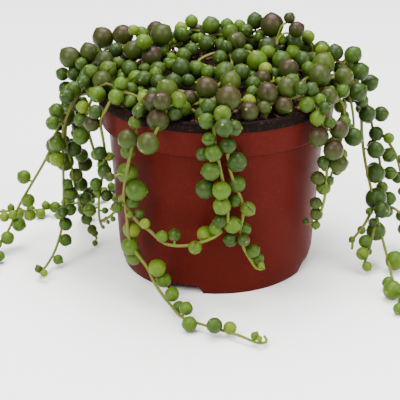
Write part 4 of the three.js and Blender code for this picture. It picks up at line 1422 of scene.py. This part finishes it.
# ---------------------------------------------------------------- the strings
# A stem as thin as a wire carries its pearls: green and soft where it is young, and violet
# brown near the root.
STEM_THICKNESS = (0.85, 0.62)
STALK_THICKNESS = 0.5
STALK_BOW = 0.25
STALK_STEP = 1.5
STEM_BROWN = 0.75

# Stem skin: smooth and satin, its colour from its age.
stem_skin = new_material("young_stem_skin")
stem_tone = add_node(stem_skin, "ShaderNodeAttribute", attribute_name="tone").outputs["Color"]
stem_age = add_node(stem_skin, "ShaderNodeSeparateColor", {"Color": stem_tone}).outputs["Red"]
stem_stops = [(0.0, "#58650f"), (0.45, "#55561a"), (0.8, "#45321f"), (1.0, "#302116")]
finish_material(
    stem_skin,
    {
        "Base Color": ramped(stem_skin, stem_age, stem_stops),
        "Roughness": 0.5,
        "IOR": 1.45,
        "Specular IOR Level": 0.25,
    },
)


def smooth(value, low, high):
    """0 below a span and 1 above it, with a soft climb between."""
    t = max(0.0, min(1.0, (value - low) / (high - low)))
    return t * t * (3 - 2 * t)


def paint_tone(piece, colours):
    """Stores how brown, how light and which throw each vertex has."""
    attribute = piece.data.color_attributes.new("tone", "FLOAT_COLOR", "POINT")
    attribute.data.foreach_set("color", np.asarray(colours, np.float32).ravel())


TONE_SEED = 23
BURNT_RADII = (3.1, 4.8)
BURNT_SHARE = (0.25, 0.75)
BURNT_TOP = (0.75, 0.35)
LEAD_TOP = (0.64, 0.5)
LIGHT = 0.3
LIGHT_BY_RADIUS = 0.16
LIGHT_RADIUS = 3.2
LIGHT_SPREAD = 0.4
LIGHT_BY_SHARE = 0.22
LEAD_SPREAD = 0.1
PEARL_LENGTH = (0.96, 0.08)
PEARL_FULL = 1.03
tone_dice = np.random.default_rng(TONE_SEED)


def make_pearl(stem, centre, radius, direction, share, skin):
    """One pearl in its place, with its own shape, roll and tone."""
    roll, squat, throw, shade = tone_dice.uniform(0, 1, 4)
    turned = Vector(direction).to_track_quat("Z", "Y").to_matrix().to_4x4()
    rolled = Matrix.Rotation(roll * 2 * math.pi, 4, "Z")
    length = radius * (PEARL_LENGTH[0] + PEARL_LENGTH[1] * squat)
    full = PEARL_FULL * radius
    sized = Matrix.Diagonal((full, full, length, 1 / MM)) * MM
    model = pearl_model if radius > YOUNG_RADIUS else young_model
    pearl = placed_copy(model, Matrix.Translation(Vector(centre) * MM) @ turned @ rolled @ sized)
    mesh = pearl.data
    facing = np.empty(len(mesh.vertices) * 3, np.float32)
    mesh.vertices.foreach_get("normal", facing)
    facing = facing.reshape(-1, 3)[:, 2]
    burnt = smooth(radius, *BURNT_RADII) * (BURNT_SHARE[0] + BURNT_SHARE[1] * throw)
    if not stem["crown"]:
        burnt *= (1 - share) ** 0.5
    brown = np.clip(burnt * (BURNT_TOP[0] + BURNT_TOP[1] * facing), 0, 1)
    light = LIGHT + LIGHT_BY_RADIUS * (LIGHT_RADIUS - radius) + LIGHT_SPREAD * (shade - 0.5)
    if not stem["crown"]:
        light += LIGHT_BY_SHARE * share
    # A front pearl's kind sets how brown and how light it is; how light is partly painted shade.
    if skin:
        burnt, light = SKINS_AND_SHADES[skin]
        brown = np.clip(burnt * (LEAD_TOP[0] + LEAD_TOP[1] * facing), 0, 1)
        light += LEAD_SPREAD * (shade - 0.5)
    colours = np.ones((len(mesh.vertices), 4), np.float32)
    colours[:, 0] = brown
    colours[:, 1] = max(0, min(1, light))
    colours[:, 2] = throw
    paint_tone(pearl, colours)
    return pearl


def make_stalk(start, end):
    """A short stalk that bows up a little from the stem to its pearl."""
    bow = STALK_BOW * math.dist(start, end)
    middle = (start + end) / 2 + np.array([0, 0, bow])
    line = even_points([start, middle, end], STALK_STEP)
    made = tube("stalk", line, [STALK_THICKNESS] * len(line), 0)
    made.data.materials.append(stem_skin)
    paint_tone(made, np.zeros((len(made.data.vertices), 4)))
    bpy.ops.object.shade_smooth()
    return made


def make_stem(stem):
    """A stem along its line, thinner towards its tip and browner towards its root."""
    line = stem["line"]
    first, last = STEM_THICKNESS
    radii = np.linspace(first, last, len(line))
    made = tube("stem", line, radii)
    made.data.materials.append(stem_skin)
    count = len(made.data.vertices)
    places = np.empty(count * 3, np.float32)
    made.data.vertices.foreach_get("co", places)
    places = places.reshape(-1, 3) / MM
    nearest = ((places[:, None, :] - line[None, :, :]) ** 2).sum(2).argmin(1)
    age = 1 - nearest / (len(line) - 1)
    colours = np.ones((count, 4), np.float32)
    colours[:, 0] = STEM_BROWN * age
    paint_tone(made, colours)
    bpy.ops.object.shade_smooth()
    return made


for name in strings:
    copies = []
    for stem in stems:
        if stem["string"] == name:
            for pearl in stem["pearls"]:
                copies.append(make_pearl(stem, *pearl))
            for stalk in stem["stalks"]:
                copies.append(make_stalk(*stalk))
            copies.append(make_stem(stem))
    string = join_pieces(copies, f"{name}_pearls")
    if name != FRONT_SHOOT:
        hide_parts(name)
    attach(string, "root")
bpy.data.objects.remove(pearl_model)
bpy.data.objects.remove(young_model)

# ---------------------------------------------------------------- the floor and the light
# A pale flat floor, and soft boxes to the left, to the right and overhead.
FLOOR_SIZE = 8.0
FLOOR_COLOUR = "#f4f4f2"
LIGHT_AIM = (0.0, 0.0, 0.05)
WORLD_STRENGTH = 0.3
# Each soft box's name, place and size in metres, and power in watts.
LIGHTS = [
    ("key", (-0.55, -0.75, 0.95), 0.8, 30.0),
    ("fill", (0.8, -0.5, 0.6), 0.8, 15.0),
    ("top", (0.0, 0.25, 1.3), 1.0, 54.0),
]

# Matt paper: a seamless background roll.
paper = new_material("matt_paper_sweep")
finish_material(paper, {"Base Color": linear(FLOOR_COLOUR), "Roughness": 0.9})
bpy.ops.mesh.primitive_plane_add(size=FLOOR_SIZE)
floor = bpy.context.object
floor.name = "floor"
floor.data.materials.append(paper)

for name, place, size, power in LIGHTS:
    bpy.ops.object.light_add(type="AREA", location=place)
    light = bpy.context.object
    light.name = name
    light.data.size = size
    light.data.energy = power
    aim = Vector(LIGHT_AIM) - Vector(place)
    light.rotation_euler = aim.to_track_quat("-Z", "Y").to_euler()

world = bpy.data.worlds.new("studio")
bpy.context.scene.world = world
world.use_nodes = True
backdrop = world.node_tree.nodes["Background"].inputs
backdrop["Color"].default_value = (1, 1, 1, 1)
backdrop["Strength"].default_value = WORLD_STRENGTH
